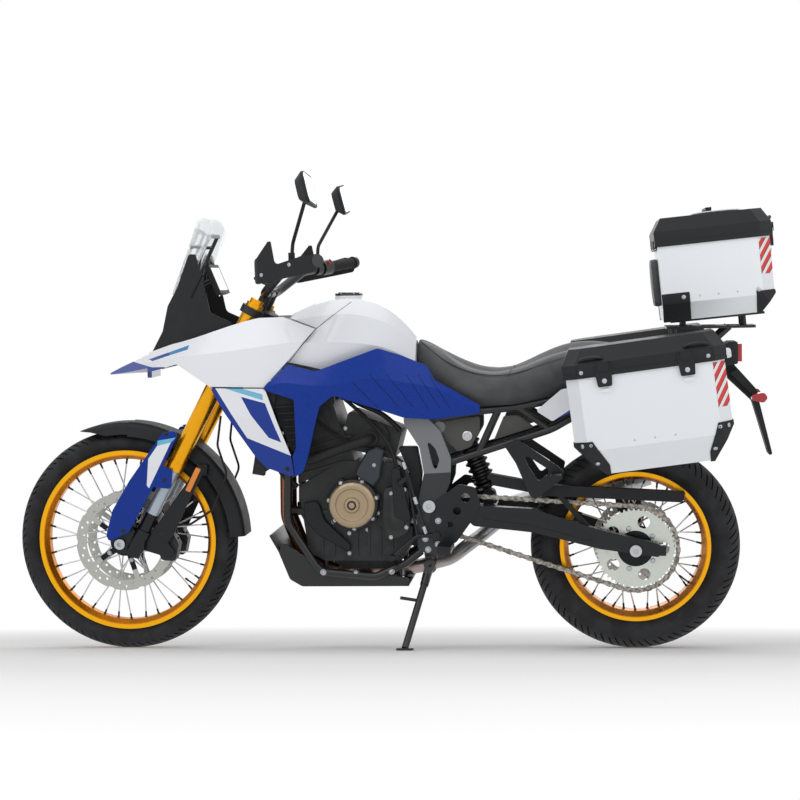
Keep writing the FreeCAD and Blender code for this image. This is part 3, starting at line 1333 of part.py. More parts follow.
def side_panels():
    """Blue side panels with a long crease from the shrouds back along the tank to the seat."""
    outline = [(478, 833, 4), (552, 902, 10), (637, 880, 30), (823, 946, 20), (893, 923, 20),
               (969, 889, 10), (992, 846, 20), (1128, 768, 6), (1125, 742, 6), (981, 727, 30),
               (900, 733, 40), (719, 797, 30), (690, 808, 20), (649, 774, 20), (634, 720, 20),
               (610, 623, 10), (594, 578, 8), (568, 560, 4), (562, 625, 10), (574, 650, 6),
               (572, 797, 8), (494, 821, 6)]
    slab = side_prism(outline, -260, -100)
    stations = [(470, [(206, 900), (220, 812), (208, 700), (204, 540)]),
                (560, [(208, 910), (236, 846), (226, 700), (214, 540)]),
                (640, [(212, 912), (240, 838), (230, 700), (216, 540)]),
                (740, [(206, 936), (226, 848), (212, 760), (200, 540)]),
                (823, [(190, 956), (208, 856), (190, 750), (180, 540)]),
                (900, [(168, 940), (190, 842), (176, 730), (170, 540)]),
                (980, [(148, 910), (172, 826), (164, 730), (160, 540)]),
                (1060, [(152, 860), (164, 790), (158, 730), (156, 540)]),
                (1132, [(152, 800), (160, 760), (156, 730), (154, 540)])]
    tank = creased_skin(tank_stations())
    tank.translate(V(0, -seat_gap, 0))
    behind = panel_skin(stations, 60)
    bosses = [disc_y(x, z, 8, -260, -140).common(behind).cut(tank)
              for x, z in ((705, 885), (810, 918))]
    return both_sides(fused([panel_skin(stations, panel_wall).common(slab)] + bosses))


def tail_panels():
    """White tail panels beside the passenger seat, on bosses at the subframe."""
    slab = side_prism(tail_outline, -200, -60)
    stations = [(1288, [(153, 960), (157, 800), (150, 700)]),
                (1500, [(150, 960), (154, 812), (146, 700)]),
                (1740, [(118, 960), (126, 880), (120, 700)]),
                (1890, [(88, 960), (96, 920), (90, 700)])]
    behind = panel_skin(stations, 60)
    bosses = [disc_y(x, z, tail_boss, -170, -tail_inner).common(behind) for x, z in tail_fixings]
    panel = fused([panel_skin(stations, panel_wall).common(slab)] + bosses)
    panel = panel.cut(Part.makeCompound(trellis(subframe_radius + seat_gap)))
    for x, z, inner in rack_arms:
        panel = panel.cut(rack_arm(-1, x, z, inner - 40, rack_arm_radius + 1))
    return both_sides(panel)


def rear_fender():
    """Tail unit underside and the plate hanger behind the wheel, with the signals' stalks."""
    tail = side_prism([(1664, 890, 10), (1780, 900, 20), (1880, 944, 10), (1905, 944, 4),
                       (1905, 878, 4), (1740, 846, 30), (1664, 834, 10)], -92, 92)
    taper = plan_prism([(1650, -96, 0), (1740, -92, 40), (1905, -70, 12), (1905, 70, 12),
                        (1740, 92, 40), (1650, 96, 0)], 800, 980)
    hanger = side_prism([(1850, 880, 6), (1886, 884, 10), (1960, 800, 20), (2008, 600, 6),
                         (1998, 596, 4), (1950, 760, 20), (1856, 850, 10)], -40, 40)
    ribs = side_prism([(1900, 860, 4), (1966, 790, 14), (1960, 770, 14), (1880, 850, 4)], -58, 58)
    stalks = disc_y(1958, 778, 6, -signal_y + 22, signal_y - 22)
    unit = fused([tail.common(taper), hanger, ribs, stalks])
    cutters = trellis(subframe_radius + seat_gap)
    return unit.cut(Part.makeCompound(cutters))


def rear_lamps():
    """Tail lamp on the tail's rear face and two turn signals on their stalks."""
    lamp = plan_prism([(1905 + seat_gap, -62, 0), (1918, -58, 8), (1918, 58, 8),
                       (1905 + seat_gap, 62, 0)], 884, 938)
    lamps = [lamp]
    for side in (-1, 1):
        y = side * signal_y
        body = side_prism([(1940, 786, 8), (1976, 794, 12), (1988, 778, 10), (1976, 762, 12),
                           (1940, 770, 8)], y - 21, y + 21)
        lamps.append(body)
    return Part.makeCompound(lamps)


# Cases

def case_block(size, front_cut, rear_cut, low_bevel, inset):
    """Solid outline of a case: x along its length, y outwards from its inner wall, z up."""
    length, height, depth = size
    outline = [(inset, height + 1, 0), (inset, front_cut[1], 0), (front_cut[0], inset, 0),
               (length - rear_cut[0], inset, 0), (length - inset, rear_cut[1], 0),
               (length - inset, height + 1, 0)]
    slab = side_prism(outline, inset, depth - inset)
    edge = case_edge_bevel
    plan = plan_prism([(inset, inset, 0), (length - inset, inset, 0), (length - inset, depth - edge, 0),
                       (length - edge, depth - inset, 0), (edge, depth - inset, 0),
                       (inset, depth - edge, 0)], -10, height + 2)
    out = depth + 10
    bevel = [(out, -10), (out, low_bevel[1]), (depth - inset, low_bevel[1]),
             (depth - low_bevel[0], inset), (depth - low_bevel[0], -10), (out, -10)]
    face = Part.Face(Part.makePolygon([V(-10, y, z) for y, z in bevel]))
    return slab.common(plan).cut(face.extrude(V(length + 20, 0, 0)))


def knuckle_spans(length):
    """Places of the hinge knuckles along a case: pairs of the case's and the lid's."""
    spans = []
    for start in (length * 0.18, length * 0.82 - 3 * knuckle_length):
        spans.append((start, "lid"))
        spans.append((start + knuckle_length, "case"))
        spans.append((start + 2 * knuckle_length, "lid"))
    return spans


def hinge_line(x, height):
    return V(x, hinge_y, height - hinge_radius)


def case_hinges(length, height):
    """Knuckles with pins that stand on the case's inner wall, just under its rim."""
    pieces = []
    for start, owner in knuckle_spans(length):
        if owner == "lid":
            continue
        a = hinge_line(start + seat_gap, height)
        run = knuckle_length - 2 * seat_gap
        pieces.append(Part.makeCylinder(hinge_radius, run, a, V(1, 0, 0)))
        pieces.append(Part.makeBox(run, -hinge_y + case_wall / 2, 2 * hinge_radius - 1,
                                   V(a.x, hinge_y, height - 2 * hinge_radius + 0.5)))
        pin_start = hinge_line(start - knuckle_length, height)
        pieces.append(Part.makeCylinder(hinge_pin, 3 * knuckle_length, pin_start, V(1, 0, 0)))
    return pieces


def case_shell(size, front_cut, rear_cut, low_bevel):
    """Sheet case, open on top, with its hinge knuckles and two latch keepers."""
    length, height, depth = size
    shape = (size, front_cut, rear_cut, low_bevel)
    shell = case_block(*shape, 0.0).cut(case_block(*shape, case_wall))
    shell = shell.cut(Part.makeBox(length + 2, depth + 2, 10, V(-1, -1, height)))
    keepers = []
    for x in latch_places(length):
        keepers.append(Part.makeBox(24, 9, 10, V(x - 12, depth - 1, height - 46)))
    return fused([shell] + case_hinges(length, height) + keepers)


def latch_places(length):
    return (length * 0.24, length * 0.76)


def case_lid(size, lid_height, bevel):
    """Moulded lid with bevelled top edges, hinge leaves and latches, that laps the case's rim."""
    length, height, depth = size

    def block(inset):
        def ring(drawn, z):
            a = drawn - lid_overhang
            b = length + lid_overhang - drawn
            d = depth + lid_overhang - drawn
            edge = case_edge_bevel
            return rounded_wire([(a, a), (b, a), (b, d - edge), (b - edge, d), (a + edge, d),
                                 (a, d - edge)], lambda p: V(p.x, p.y, z))
        low = ring(inset, 0 if inset == 0 else -1)
        knee = ring(inset, lid_height - bevel)
        top = ring(inset + bevel * 0.6, lid_height - inset)
        return Part.makeLoft([low, knee], True, True).fuse(Part.makeLoft([knee, top], True, True))

    def groove(z):
        a = -lid_overhang - 1
        outer = plan_prism([(a, a, 0), (length - a, a, 0), (length - a, depth - a, 0),
                            (a, depth - a, 0)], z, z + 4)
        b = 1.2 - lid_overhang
        edge = case_edge_bevel
        inner = plan_prism([(b, b, 0), (length - b, b, 0), (length - b, depth - b - edge, 0),
                            (length - b - edge, depth - b, 0), (b + edge, depth - b, 0),
                            (b, depth - b - edge, 0)], z - 1, z + 5)
        return outer.cut(inner)

    shell = block(0.0).cut(block(lid_wall)).removeSplitter().cut(groove(12))
    shell.translate(V(0, 0, height + seat_gap))
    pieces = [shell]
    for start, owner in knuckle_spans(length):
        if owner == "case":
            continue
        a = hinge_line(start + seat_gap, height)
        run = knuckle_length - 2 * seat_gap
        knuckle = Part.makeCylinder(hinge_radius, run, a, V(1, 0, 0))
        leaf = Part.makeBox(run, 3, 26, V(a.x, -lid_overhang - 2.5, height - hinge_radius))
        bore = Part.makeCylinder(hinge_pin + hinge_gap, run + 2, a - V(1, 0, 0), V(1, 0, 0))
        pieces.append(fused([knuckle, leaf]).cut(bore))
    for x in latch_places(length):
        face = depth + lid_overhang
        pieces.append(side_prism([(x - 26, height + 34, 5), (x + 26, height + 34, 5),
                                  (x + 20, height - 30, 5), (x - 20, height - 30, 5)],
                                 face - 1, face + 6))
        pieces.append(side_prism([(x - 16, height + 40, 3), (x + 16, height + 40, 3),
                                  (x + 16, height + 14, 3), (x - 16, height + 14, 3)],
                                 face + 4, face + 11))
    return fused(pieces)


def pannier_place(shape):
    """Puts a case, built from its inner wall outwards, on the left at its tilt."""
    placed = shape.mirror(V(0, 0, 0), V(0, 1, 0))
    placed.translate(V(0, 0, -pannier_height))
    placed.rotate(V(0, 0, 0), V(0, 1, 0), -pannier_tilt)
    placed.translate(V(pannier_x, -pannier_inner, pannier_z))
    return placed


def top_place(shape):
    """Turns a case's length across the motorcycle, over the rack."""
    placed = shape.copy()
    placed.translate(V(-top_case_width / 2, 0, 0))
    placed.rotate(V(0, 0, 0), V(0, 0, 1), -90)
    placed.rotate(V(0, 0, 0), V(0, 1, 0), -top_case_tilt)
    placed.translate(V(top_case_x, 0, top_case_z))
    return placed


def left_case():
    return pannier_place(case_shell(*pannier_shape))


def left_lid():
    return pannier_place(case_lid(pannier_size, pannier_lid_height, 44))


def top_case():
    return top_place(case_shell(*top_case_shape))


def top_lid():
    """Top case lid with a fold-down carrying handle on it."""
    lid = case_lid(top_case_size, top_lid_height, 40)
    z = top_case_height + top_lid_height
    middle = top_case_length / 2
    feet = [Part.makeBox(24, 16, 16, V(x - 12, middle - 8, z - 2)) for x in (112, 292)]
    grip = plan_prism([(100, middle - 9, 6), (304, middle - 9, 6), (304, middle + 9, 6),
                       (100, middle + 9, 6)], z + 13, z + 20)
    return top_place(fused([lid, grip] + feet))


def backrest_pad():
    """Cushion on the front wall of the top case."""
    half = 92
    middle = top_case_width / 2
    pad = side_prism([(middle - half, 46, 18), (middle + half, 46, 18), (middle + half - 8, 188, 24),
                      (middle - half + 8, 188, 24)], -20 - seat_gap, -seat_gap)
    return top_place(pad)


def corner_guards(shape):
    """Moulded guards over the lower corners of a case, from its own outline."""
    size, front_cut, rear_cut, low_bevel = shape
    length, height, depth = size
    sheet = case_block(*shape, -corner_guard_wall - seat_gap).cut(case_block(*shape, -seat_gap))
    inner = depth - low_bevel[0] - guard_lap
    guards = []
    for side, edge, cut in ((1, 0, front_cut), (-1, length, rear_cut)):
        far = edge + side * (cut[0] + guard_lap)
        near = edge - side * 5
        high = cut[1] + guard_lap
        region = side_prism([(near, -5, 0), (far, -5, 0), (far, 26, 0),
                             ((near + far) / 2 + side * 8, high, 0), (near, high, 0)],
                            inner, depth + 5)
        guards.append(sheet.common(region))
    return guards


def case_guards():
    """Corner guards of all three cases."""
    pannier = [pannier_place(guard) for guard in corner_guards(pannier_shape)]
    top = [top_place(guard) for guard in corner_guards(top_case_shape)]
    both = pannier + [mirrored(guard) for guard in pannier] + top
    return Part.makeCompound([solid for guard in both for solid in guard.Solids])


def rack_arm(side, x, z, inner, radius):
    return cylinder_between(V(x, side * rack_y, z), V(x, side * (inner + seat_gap), z), radius)


def pannier_racks():
    """Side hoops that carry the panniers, on arms from the subframe."""
    hoops = []
    for side in (-1, 1):
        y = side * rack_y
        hoop = [tube([V(1474, y, 806), V(1474, y, 640), V(1700, y, 664), V(1700, y, 852)],
                     rack_tube, 30),
                tube([V(1474, y, 798), V(1500, y, 812), V(1680, y, 834), V(1700, y, 846)],
                     rack_tube - 1, 12)]
        hoop += [rack_arm(side, x, z, inner, rack_arm_radius) for x, z, inner in rack_arms]
        hoops.append(fused(hoop).cut(Part.makeCompound(trellis(subframe_radius + seat_gap))))
    return Part.makeCompound(hoops)


def top_rack():
    """Rear carrier plate on posts, with the tilted plate that the top case clips to."""
    top = rack_plate_z + rack_plate_thickness
    plate = plan_prism([(1690, -96, 14), (1960, -74, 24), (1960, 74, 24), (1690, 96, 14)],
                       rack_plate_z, top)
    windows = []
    for x in (1730, 1800, 1870):
        windows.append(plan_prism([(x, -52, 10), (x + 44, -50, 10), (x + 44, 50, 10), (x, 52, 10)],
                                  rack_plate_z - 1, top + 1))
    pieces = [plate.cut(Part.makeCompound(windows))]
    for side in (-1, 1):
        y = side * 82
        pieces.append(cylinder_between(V(1712, y, 893), V(1712, y, rack_plate_z + 4), 9))
        pieces.append(cylinder_between(V(1770, y, 893), V(1880, side * 70, rack_plate_z + 4), 9))
    carrier = Part.makeBox(224, 280, 7, V(90, 20, -7 - seat_gap))
    carrier = carrier.cut(Part.makeBox(120, 150, 20, V(142, 85, -14)))
    tail = rear_fender()
    tail.translate(V(0, 0, seat_gap))
    risers = [Part.makeCylinder(8, 60, V(x, y, -40 - seat_gap)) for x in (152, 252) for y in (60, 240)]
    base = Part.makeBox(400, 400, 60, V(1640, -200, rack_plate_z + 2))
    ceiling = top_place(Part.makeBox(400, 400, 60, V(0, -20, -63 - seat_gap)))
    posts = [top_place(riser).common(base).common(ceiling) for riser in risers]
    pieces += [top_place(carrier)] + posts
    return fused(pieces).cut(tail)


# Footrests and stand

def footrests():
    """Rider's footrests on pierced plates, passenger's on hangers, gear lever and brake pedal."""
    plate_y = arm_outer + seat_gap
    rests = []
    for side in (-1, 1):
        plate = side_prism([(966, 404, 10), (980, 470, 10), (1058, 528, 12), (1108, 518, 14),
                            (1124, 464, 14), (1100, 420, 20), (1050, 352, 14), (1004, 322, 12),
                            (978, 350, 10)], side * plate_y, side * (plate_y + 5))
        holes = [disc_y(pivot_x, pivot_z, 24, -200, 200), disc_y(1078, 486, 14, -200, 200),
                 disc_y(1052, 446, 12, -200, 200), disc_y(1030, 404, 9, -200, 200)]
        bosses = [disc_y(x, z, 9, min(side * (spar_outer + seat_gap), side * plate_y),
                         max(side * (spar_outer + seat_gap), side * plate_y))
                  for x, z in ((994, 416), (992, 344))]
        peg = side_prism([(1000, 352, 6), (1042, 348, 6), (1042, 332, 6), (1000, 334, 6)],
                         side * plate_y, side * peg_end)
        teeth = [side_prism([(1000, 350, 2), (1042, 346, 2), (1042, 356, 2), (1000, 360, 2)],
                            side * y, side * (y + 5)) for y in range(216, 296, 13)]
        hanger = side_prism([(1196, 646, 8), (1236, 664, 8), (1378, 566, 10), (1372, 540, 8),
                             (1290, 478, 10), (1274, 490, 10), (1232, 590, 20)],
                            side * hanger_inner, side * hanger_outer)
        slot = side_prism([(1254, 620, 8), (1330, 570, 8), (1330, 556, 8), (1300, 534, 8),
                           (1270, 580, 8)], -200, 200)
        peg2 = side_prism([(1338, 562, 5), (1372, 560, 5), (1372, 546, 5), (1338, 546, 5)],
                          side * (hanger_inner + 2), side * passenger_peg_end)
        plates = fused([plate] + bosses).cut(Part.makeCompound(holes))
        levers = gear_lever() if side < 0 else brake_pedal()
        rests.append(fused([plates, peg] + teeth + levers))
        rests.append(fused([hanger.cut(slot), peg2]))
    return Part.makeCompound(rests)


def gear_lever():
    """Gear lever from the left plate, with its rod up to the shift shaft's arm."""
    y = -arm_outer - 5
    lever = tube([V(988, y - 4, 372), V(930, y - 12, 372), V(856, y - 20, 312)], 6, 30)
    peg = disc_y(854, 310, 9, y - 60, y - 14)
    hub = disc_y(988, 372, 12, y - 12, y)
    rod = cylinder_between(V(930, y - 12, 372), V(903, y - 10, 556), 4)
    arm = side_prism([(870, 532, 9), (912, 566, 9), (906, 548, 4), (886, 528, 9)], y - 12, y - 5.5)
    return [lever, peg, hub, rod, arm]


def brake_pedal():
    """Rear brake pedal from the right plate."""
    y = arm_outer + 5
    lever = tube([V(1000, y + 4, 350), V(950, y + 14, 326), V(856, y + 22, 330)], 7, 30)
    pad = side_prism([(838, 340, 4), (874, 338, 4), (874, 326, 4), (838, 328, 4)], y + 14, y + 56)
    hub = disc_y(1000, 350, 12, y, y + 12)
    return [lever, pad, hub]


def ground_point(x, y):
    """The point of the ground, on the upright motorcycle's axes, that lies at its x and y."""
    base = parked.inverse().multVec(V(0, 0, 0))
    rise = ((x - base.x) * ground_up.x + (y - base.y) * ground_up.y) / ground_up.z
    return V(x, y, base.z - rise)


def stand_axis():
    """Hinge line of the side stand, square to the leg both when it is down and when stowed."""
    down = (ground_point(stand_foot_x, stand_foot_y) - stand_pivot).normalize()
    return down.cross(stand_stow).normalize()


def stand_room():
    """Room that the folding stand's disc and collar sweep outside its bracket."""
    axis = stand_axis()
    return Part.makeCylinder(stand_disc + 12, 60, stand_pivot + axis * stand_plate, axis)


def stand_bracket():
    """Bracket on the left spar that carries the side stand's hinge pin."""
    axis = stand_axis()
    disc = Part.makeCylinder(stand_disc, stand_plate, stand_pivot, axis)
    pin = Part.makeCylinder(stand_pin, 2 * stand_plate + 6, stand_pivot, axis)
    web = side_prism([(948, 322, 6), (990, 322, 6), (982, 264, 12), (954, 264, 12)],
                     -spar_outer + 2, -spar_inner - 2)
    return [disc, web.cut(stand_room()), pin]


def side_stand():
    """Side stand leg on its hinge, with a round foot flat on the ground and a pull-down tang."""
    axis = stand_axis()
    foot = ground_point(stand_foot_x, stand_foot_y)
    seat_plane = stand_pivot + axis * (stand_plate + seat_gap)
    centre = seat_plane + axis * (stand_plate / 2)
    disc = Part.makeCylinder(stand_disc, stand_plate, seat_plane, axis)
    pad = Part.makeCylinder(27, 7, foot, ground_up)
    way = (foot - centre).normalize()
    across = way.cross(axis).normalize()
    root = centre + way * (stand_disc + 14)
    flat = across.cross(axis) * -1
    corners = [seat_plane + across * 14, seat_plane + across * 12 + flat * 52,
               seat_plane - across * 12 + flat * 52, seat_plane - across * 14]
    tab = Part.Face(Part.makePolygon(corners + corners[:1])).extrude(axis * stand_plate)
    leg = cylinder_between(root, foot + ground_up * 6, 10.5)
    collar = cylinder_between(root, root + way * 36, 13)
    half_way = centre + (foot - centre) * 0.42
    tang = cylinder_between(half_way, half_way + V(-54, -30, 14), 5)
    bore = Part.makeCylinder(stand_pin + running_gap, 100, stand_pivot - axis * 50, axis)
    below = Part.makeCylinder(200, 60, foot - ground_up * 60, ground_up)
    return fused([disc, tab, pad, leg, collar, tang]).cut(bore).cut(below)


nodes = {
    "front_tyre": front_tyre,
    "front_wheel_rim": front_wheel,
    "front_discs": front_discs,
    "rear_tyre": rear_tyre,
    "rear_wheel_rim": rear_wheel,
    "rear_disc": rear_disc,
    "rear_sprocket": sprocket,
    "fork_tubes": fork_tubes,
    "fork_lowers": fork_lowers,
    "front_calipers": front_calipers,
    "front_axle": front_axle,
    "triple_clamps": triple_clamps,
    "handlebar": handlebar,
    "handguards": handguards,
    "mirrors": mirrors,
    "front_fender": front_fender,
    "fork_guards": fork_guards,
    "brake_hoses": brake_hoses,
    "main_frame": main_frame,
    "axle_bolts": axle_bolts,
    "engine_block": engine_block,
    "engine_covers": engine_covers,
    "radiator": radiator,
    "coolant_hose": coolant_hose,
    "exhaust": exhaust,
    "belly_guard": belly_guard,
    "swingarm": swingarm,
    "drive_chain": chain,
    "chain_guard": chain_guard,
    "rear_caliper": rear_caliper,
    "shock_absorber": shock,
    "subframe": subframe,
    "fuel_tank": fuel_tank,
    "seat": seat,
    "nose_cowl": nose_cowl,
    "headlamp_cowl": headlamp_cowl,
    "headlamps": headlamps,
    "windscreen": windscreen,
    "front_stay": front_stay,
    "display": display,
    "wing_panels": wing_panels,
    "side_panels": side_panels,
    "tail_panels": tail_panels,
    "rear_fender": rear_fender,
    "rear_lamps": rear_lamps,
    "left_case": left_case,
    "left_lid": left_lid,
    "right_case": lambda: mirrored(left_case()),
    "right_lid": lambda: mirrored(left_lid()),
    "top_case": top_case,
    "top_lid": top_lid,
    "case_guards": case_guards,
    "backrest_pad": backrest_pad,
    "pannier_racks": pannier_racks,
    "top_rack": top_rack,
    "footrests": footrests,
    "side_stand": side_stand,
}

upright = {name: make() for name, make in nodes.items()}

footprint = FreeCAD.BoundBox()
for shape in upright.values():
    leaned = shape.copy()
    leaned.Placement = parked.multiply(leaned.Placement)
    footprint.add(leaned.optimalBoundingBox(False, False))
centring = V(-(footprint.XMin + footprint.XMax) / 2, -(footprint.YMin + footprint.YMax) / 2, 0)
stored = FreeCAD.Placement(centring, FreeCAD.Rotation()).multiply(parked)

os.makedirs("parts", exist_ok=True)
for name, shape in upright.items():
    shape.Placement = stored.multiply(shape.Placement)
    shape.exportStep("parts/" + name + ".step")
    print(name, len(shape.Solids), round(shape.Volume / 1e6, 3), shape.isValid())
print("footprint", footprint)
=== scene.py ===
import math

import bpy
import mathutils
from bpy.props import FloatProperty, FloatVectorProperty, IntProperty, PointerProperty


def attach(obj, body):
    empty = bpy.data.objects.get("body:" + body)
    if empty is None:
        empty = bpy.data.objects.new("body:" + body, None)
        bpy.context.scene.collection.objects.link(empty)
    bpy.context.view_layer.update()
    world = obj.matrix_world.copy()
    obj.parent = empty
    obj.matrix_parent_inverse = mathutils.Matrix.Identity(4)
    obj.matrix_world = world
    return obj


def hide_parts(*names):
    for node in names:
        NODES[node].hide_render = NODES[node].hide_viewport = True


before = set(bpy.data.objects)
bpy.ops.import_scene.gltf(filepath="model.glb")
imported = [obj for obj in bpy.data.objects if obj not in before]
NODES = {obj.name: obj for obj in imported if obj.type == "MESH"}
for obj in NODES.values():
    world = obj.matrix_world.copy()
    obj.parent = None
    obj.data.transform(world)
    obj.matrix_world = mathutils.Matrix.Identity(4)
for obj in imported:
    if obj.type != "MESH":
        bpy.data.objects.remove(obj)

bl_info = {
    "name": "Adventure motorcycle",
    "version": (1, 0, 0),
    "blender": (4, 5, 0),
    "location": "3D View > Sidebar > Motorcycle",
    "description": "Dresses the packed motorcycle with treads, upholstery, fittings and finishes",
    "category": "Object",
}

Vector = mathutils.Vector
Matrix = mathutils.Matrix
MM = 0.001

# The motorcycle's own upright axes, in millimetres: x back from the front axle, y to the rider's
# right, z up. LEANED carries them to the frame, in which it leans on its side stand.
LEAN = 9.25
PITCH = 0.0178063
FRONT_LIFT = 0.65018
FOOT_SHIFT = (-830.782, 166.559)
LEANED = (Matrix.Translation((FOOT_SHIFT[0] * MM, FOOT_SHIFT[1] * MM, FRONT_LIFT * MM))
          @ Matrix.Rotation(math.radians(-PITCH), 4, "Y")
          @ Matrix.Rotation(math.radians(LEAN), 4, "X"))
FRONT_AXLE = (0.0, 347.5)
REAR_AXLE = (1590.0, 321.0)


def linear(code):
    """An sRGB hex colour as the linear values that a shader takes."""
    values = [int(code[i:i + 2], 16) / 255 for i in (0, 2, 4)]
    return [v / 12.92 if v <= 0.04045 else ((v + 0.055) / 1.055) ** 2.4 for v in values]


# Modelling helpers

def unselected():
    if bpy.context.object and bpy.context.object.mode != "OBJECT":
        bpy.ops.object.mode_set(mode="OBJECT")
    bpy.ops.object.select_all(action="DESELECT")


def chosen(obj):
    unselected()
    obj.select_set(True)
    bpy.context.view_layer.objects.active = obj


def named(name):
    obj = bpy.context.object
    obj.name = name
    obj.data.name = name
    return obj


def applied(obj, kind, **settings):
    """Adds a modifier with its settings and applies it."""
    chosen(obj)
    modifier = obj.modifiers.new(kind.lower(), kind)
    for key, value in settings.items():
        setattr(modifier, key, value)
    bpy.ops.object.modifier_apply(modifier=modifier.name)


def smooth(obj, angle=35):
    chosen(obj)
    bpy.ops.object.shade_smooth_by_angle(angle=math.radians(angle))


def righted(obj, distance=0.00005):
    """Merges doubles and turns every face outwards."""
    chosen(obj)
    bpy.ops.object.mode_set(mode="EDIT")
    bpy.ops.mesh.select_all(action="SELECT")
    bpy.ops.mesh.remove_doubles(threshold=distance)
    bpy.ops.mesh.normals_make_consistent(inside=False)
    bpy.ops.object.mode_set(mode="OBJECT")


def turned(name, rings, sides=32):
    """A round piece about Z, pulled up ring by ring from a disc: (radius, height) in mm."""
    unselected()
    bpy.ops.mesh.primitive_circle_add(vertices=sides, radius=rings[0][0] * MM, fill_type="NGON",
                                      location=(0, 0, rings[0][1] * MM))
    obj = named(name)
    bpy.ops.object.transform_apply(location=True)
    bpy.ops.object.mode_set(mode="EDIT")
    bpy.ops.mesh.select_all(action="SELECT")
    for (r0, h0), (r1, h1) in zip(rings, rings[1:]):
        move = {"value": (0, 0, (h1 - h0) * MM)}
        bpy.ops.mesh.extrude_region_move(TRANSFORM_OT_translate=move)
        bpy.ops.transform.resize(value=(r1 / r0, r1 / r0, 1))
    bpy.ops.object.mode_set(mode="OBJECT")
    righted(obj)
    return obj


def slab(name, outline, y0, y1, bevel=0.0, segments=2):
    """A side outline of (x, z) points in mm, extruded across from y0 to y1, its edges eased."""
    unselected()
    bpy.ops.mesh.primitive_circle_add(vertices=len(outline), radius=1, fill_type="NGON")
    obj = named(name)
    for vertex, (x, z) in zip(obj.data.vertices, outline):
        vertex.co = (x * MM, y0 * MM, z * MM)
    bpy.ops.object.mode_set(mode="EDIT")
    bpy.ops.mesh.select_all(action="SELECT")
    bpy.ops.mesh.extrude_region_move(TRANSFORM_OT_translate={"value": (0, (y1 - y0) * MM, 0)})
    bpy.ops.object.mode_set(mode="OBJECT")
    righted(obj)
    if bevel:
        applied(obj, "BEVEL", width=bevel * MM, segments=segments, limit_method="ANGLE",
                angle_limit=math.radians(30))
    return obj


def piped(name, points, radius, order=3, sides=8, closed=False):
    """A round bar or pipe on one smooth line through (x, y, z) points in mm, as a mesh."""
    line = bpy.data.curves.new(name, "CURVE")
    line.dimensions = "3D"
    line.bevel_depth = radius * MM
    line.bevel_resolution = max(1, sides // 4)
    line.use_fill_caps = True
    spline = line.splines.new("NURBS")
    spline.points.add(len(points) - 1)
    for target, point in zip(spline.points, points):
        target.co = (point[0] * MM, point[1] * MM, point[2] * MM, 1)
    spline.order_u = order
    spline.use_endpoint_u = not closed
    spline.use_cyclic_u = closed
    obj = bpy.data.objects.new(name, line)
    bpy.context.scene.collection.objects.link(obj)
    chosen(obj)
    bpy.ops.object.convert(target="MESH")
    return named(name)


def facing(direction):
    """Rotation that carries +Z to a direction."""
    return Vector((0, 0, 1)).rotation_difference(Vector(direction)).to_matrix().to_4x4()


def spread(name, master, places):
    """Copies of one modelled piece, each with its own mesh, joined: (point in mm, direction)."""
    copies = []
    for point, direction in places:
        twin = master.copy()
        twin.data = master.data.copy()
        bpy.context.scene.collection.objects.link(twin)
        twin.data.transform(Matrix.Translation(Vector(point) * MM) @ facing(direction))
        copies.append(twin)
    bpy.data.objects.remove(master)
    return joined(name, copies)


def joined(name, pieces):
    unselected()
    for piece in pieces:
        piece.select_set(True)
    bpy.context.view_layer.objects.active = pieces[0]
    if len(pieces) > 1:
        bpy.ops.object.join()
    return named(name)


def both_sides(obj):
    """Adds the mirror image across the motorcycle's middle plane."""
    applied(obj, "MIRROR", use_axis=(False, True, False), merge_threshold=0.0001)
    return obj


def set_in(obj, finish, body, angle=None, lean=True):
    """Shades a finished piece, leans it into the frame, gives it its finish and its body."""
    if angle:
        smooth(obj, angle)
    place = LEANED @ obj.matrix_world if lean else obj.matrix_world
    obj.data.transform(place)
    obj.matrix_world = Matrix.Identity(4)
    obj.data.materials.clear()
    obj.data.materials.append(FINISHES[finish])
    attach(obj, body)
    return obj


def bright(obj, body, angle=None):
    """Sets in a piece of zinc-plated steel: bolts, clips, locks and rivets."""
    return set_in(obj, "zinc_plated_steel", body, angle)


# Finishes

FINISHES = {}
BLUE = "00308F"


def add(tree, kind, links=None, **settings):
    """Adds a shader node with its settings; links maps its inputs to sockets or values."""
    node = tree.nodes.new(kind)
    for key, value in settings.items():
        setattr(node, key, value)
    for key, value in (links or {}).items():
        if isinstance(value, bpy.types.NodeSocket):
            tree.links.new(value, node.inputs[key])
        else:
            node.inputs[key].default_value = value
    return node


def finish(name, colour, roughness, metallic=0.0, **sockets):
    """A new material of one Principled shader, on the motorcycle's upright axes in metres."""
    material = bpy.data.materials.new(name)
    material.use_nodes = True
    tree = material.node_tree
    shader = tree.nodes["Principled BSDF"]
    shader.inputs["Base Color"].default_value = (*linear(colour), 1)
    shader.inputs["Roughness"].default_value = roughness
    shader.inputs["Metallic"].default_value = metallic
    for key, value in sockets.items():
        shader.inputs[key.replace("_", " ")].default_value = value
    place = add(tree, "ShaderNodeTexCoord").outputs["Object"]
    upright = add(tree, "ShaderNodeMapping", {
        "Vector": place,
        "Location": (FOOT_SHIFT[0] * MM, FOOT_SHIFT[1] * MM, FRONT_LIFT * MM),
        "Rotation": (math.radians(LEAN), math.radians(-PITCH), 0)}, vector_type="TEXTURE")
    FINISHES[name] = material
    return tree, shader, upright.outputs["Vector"]


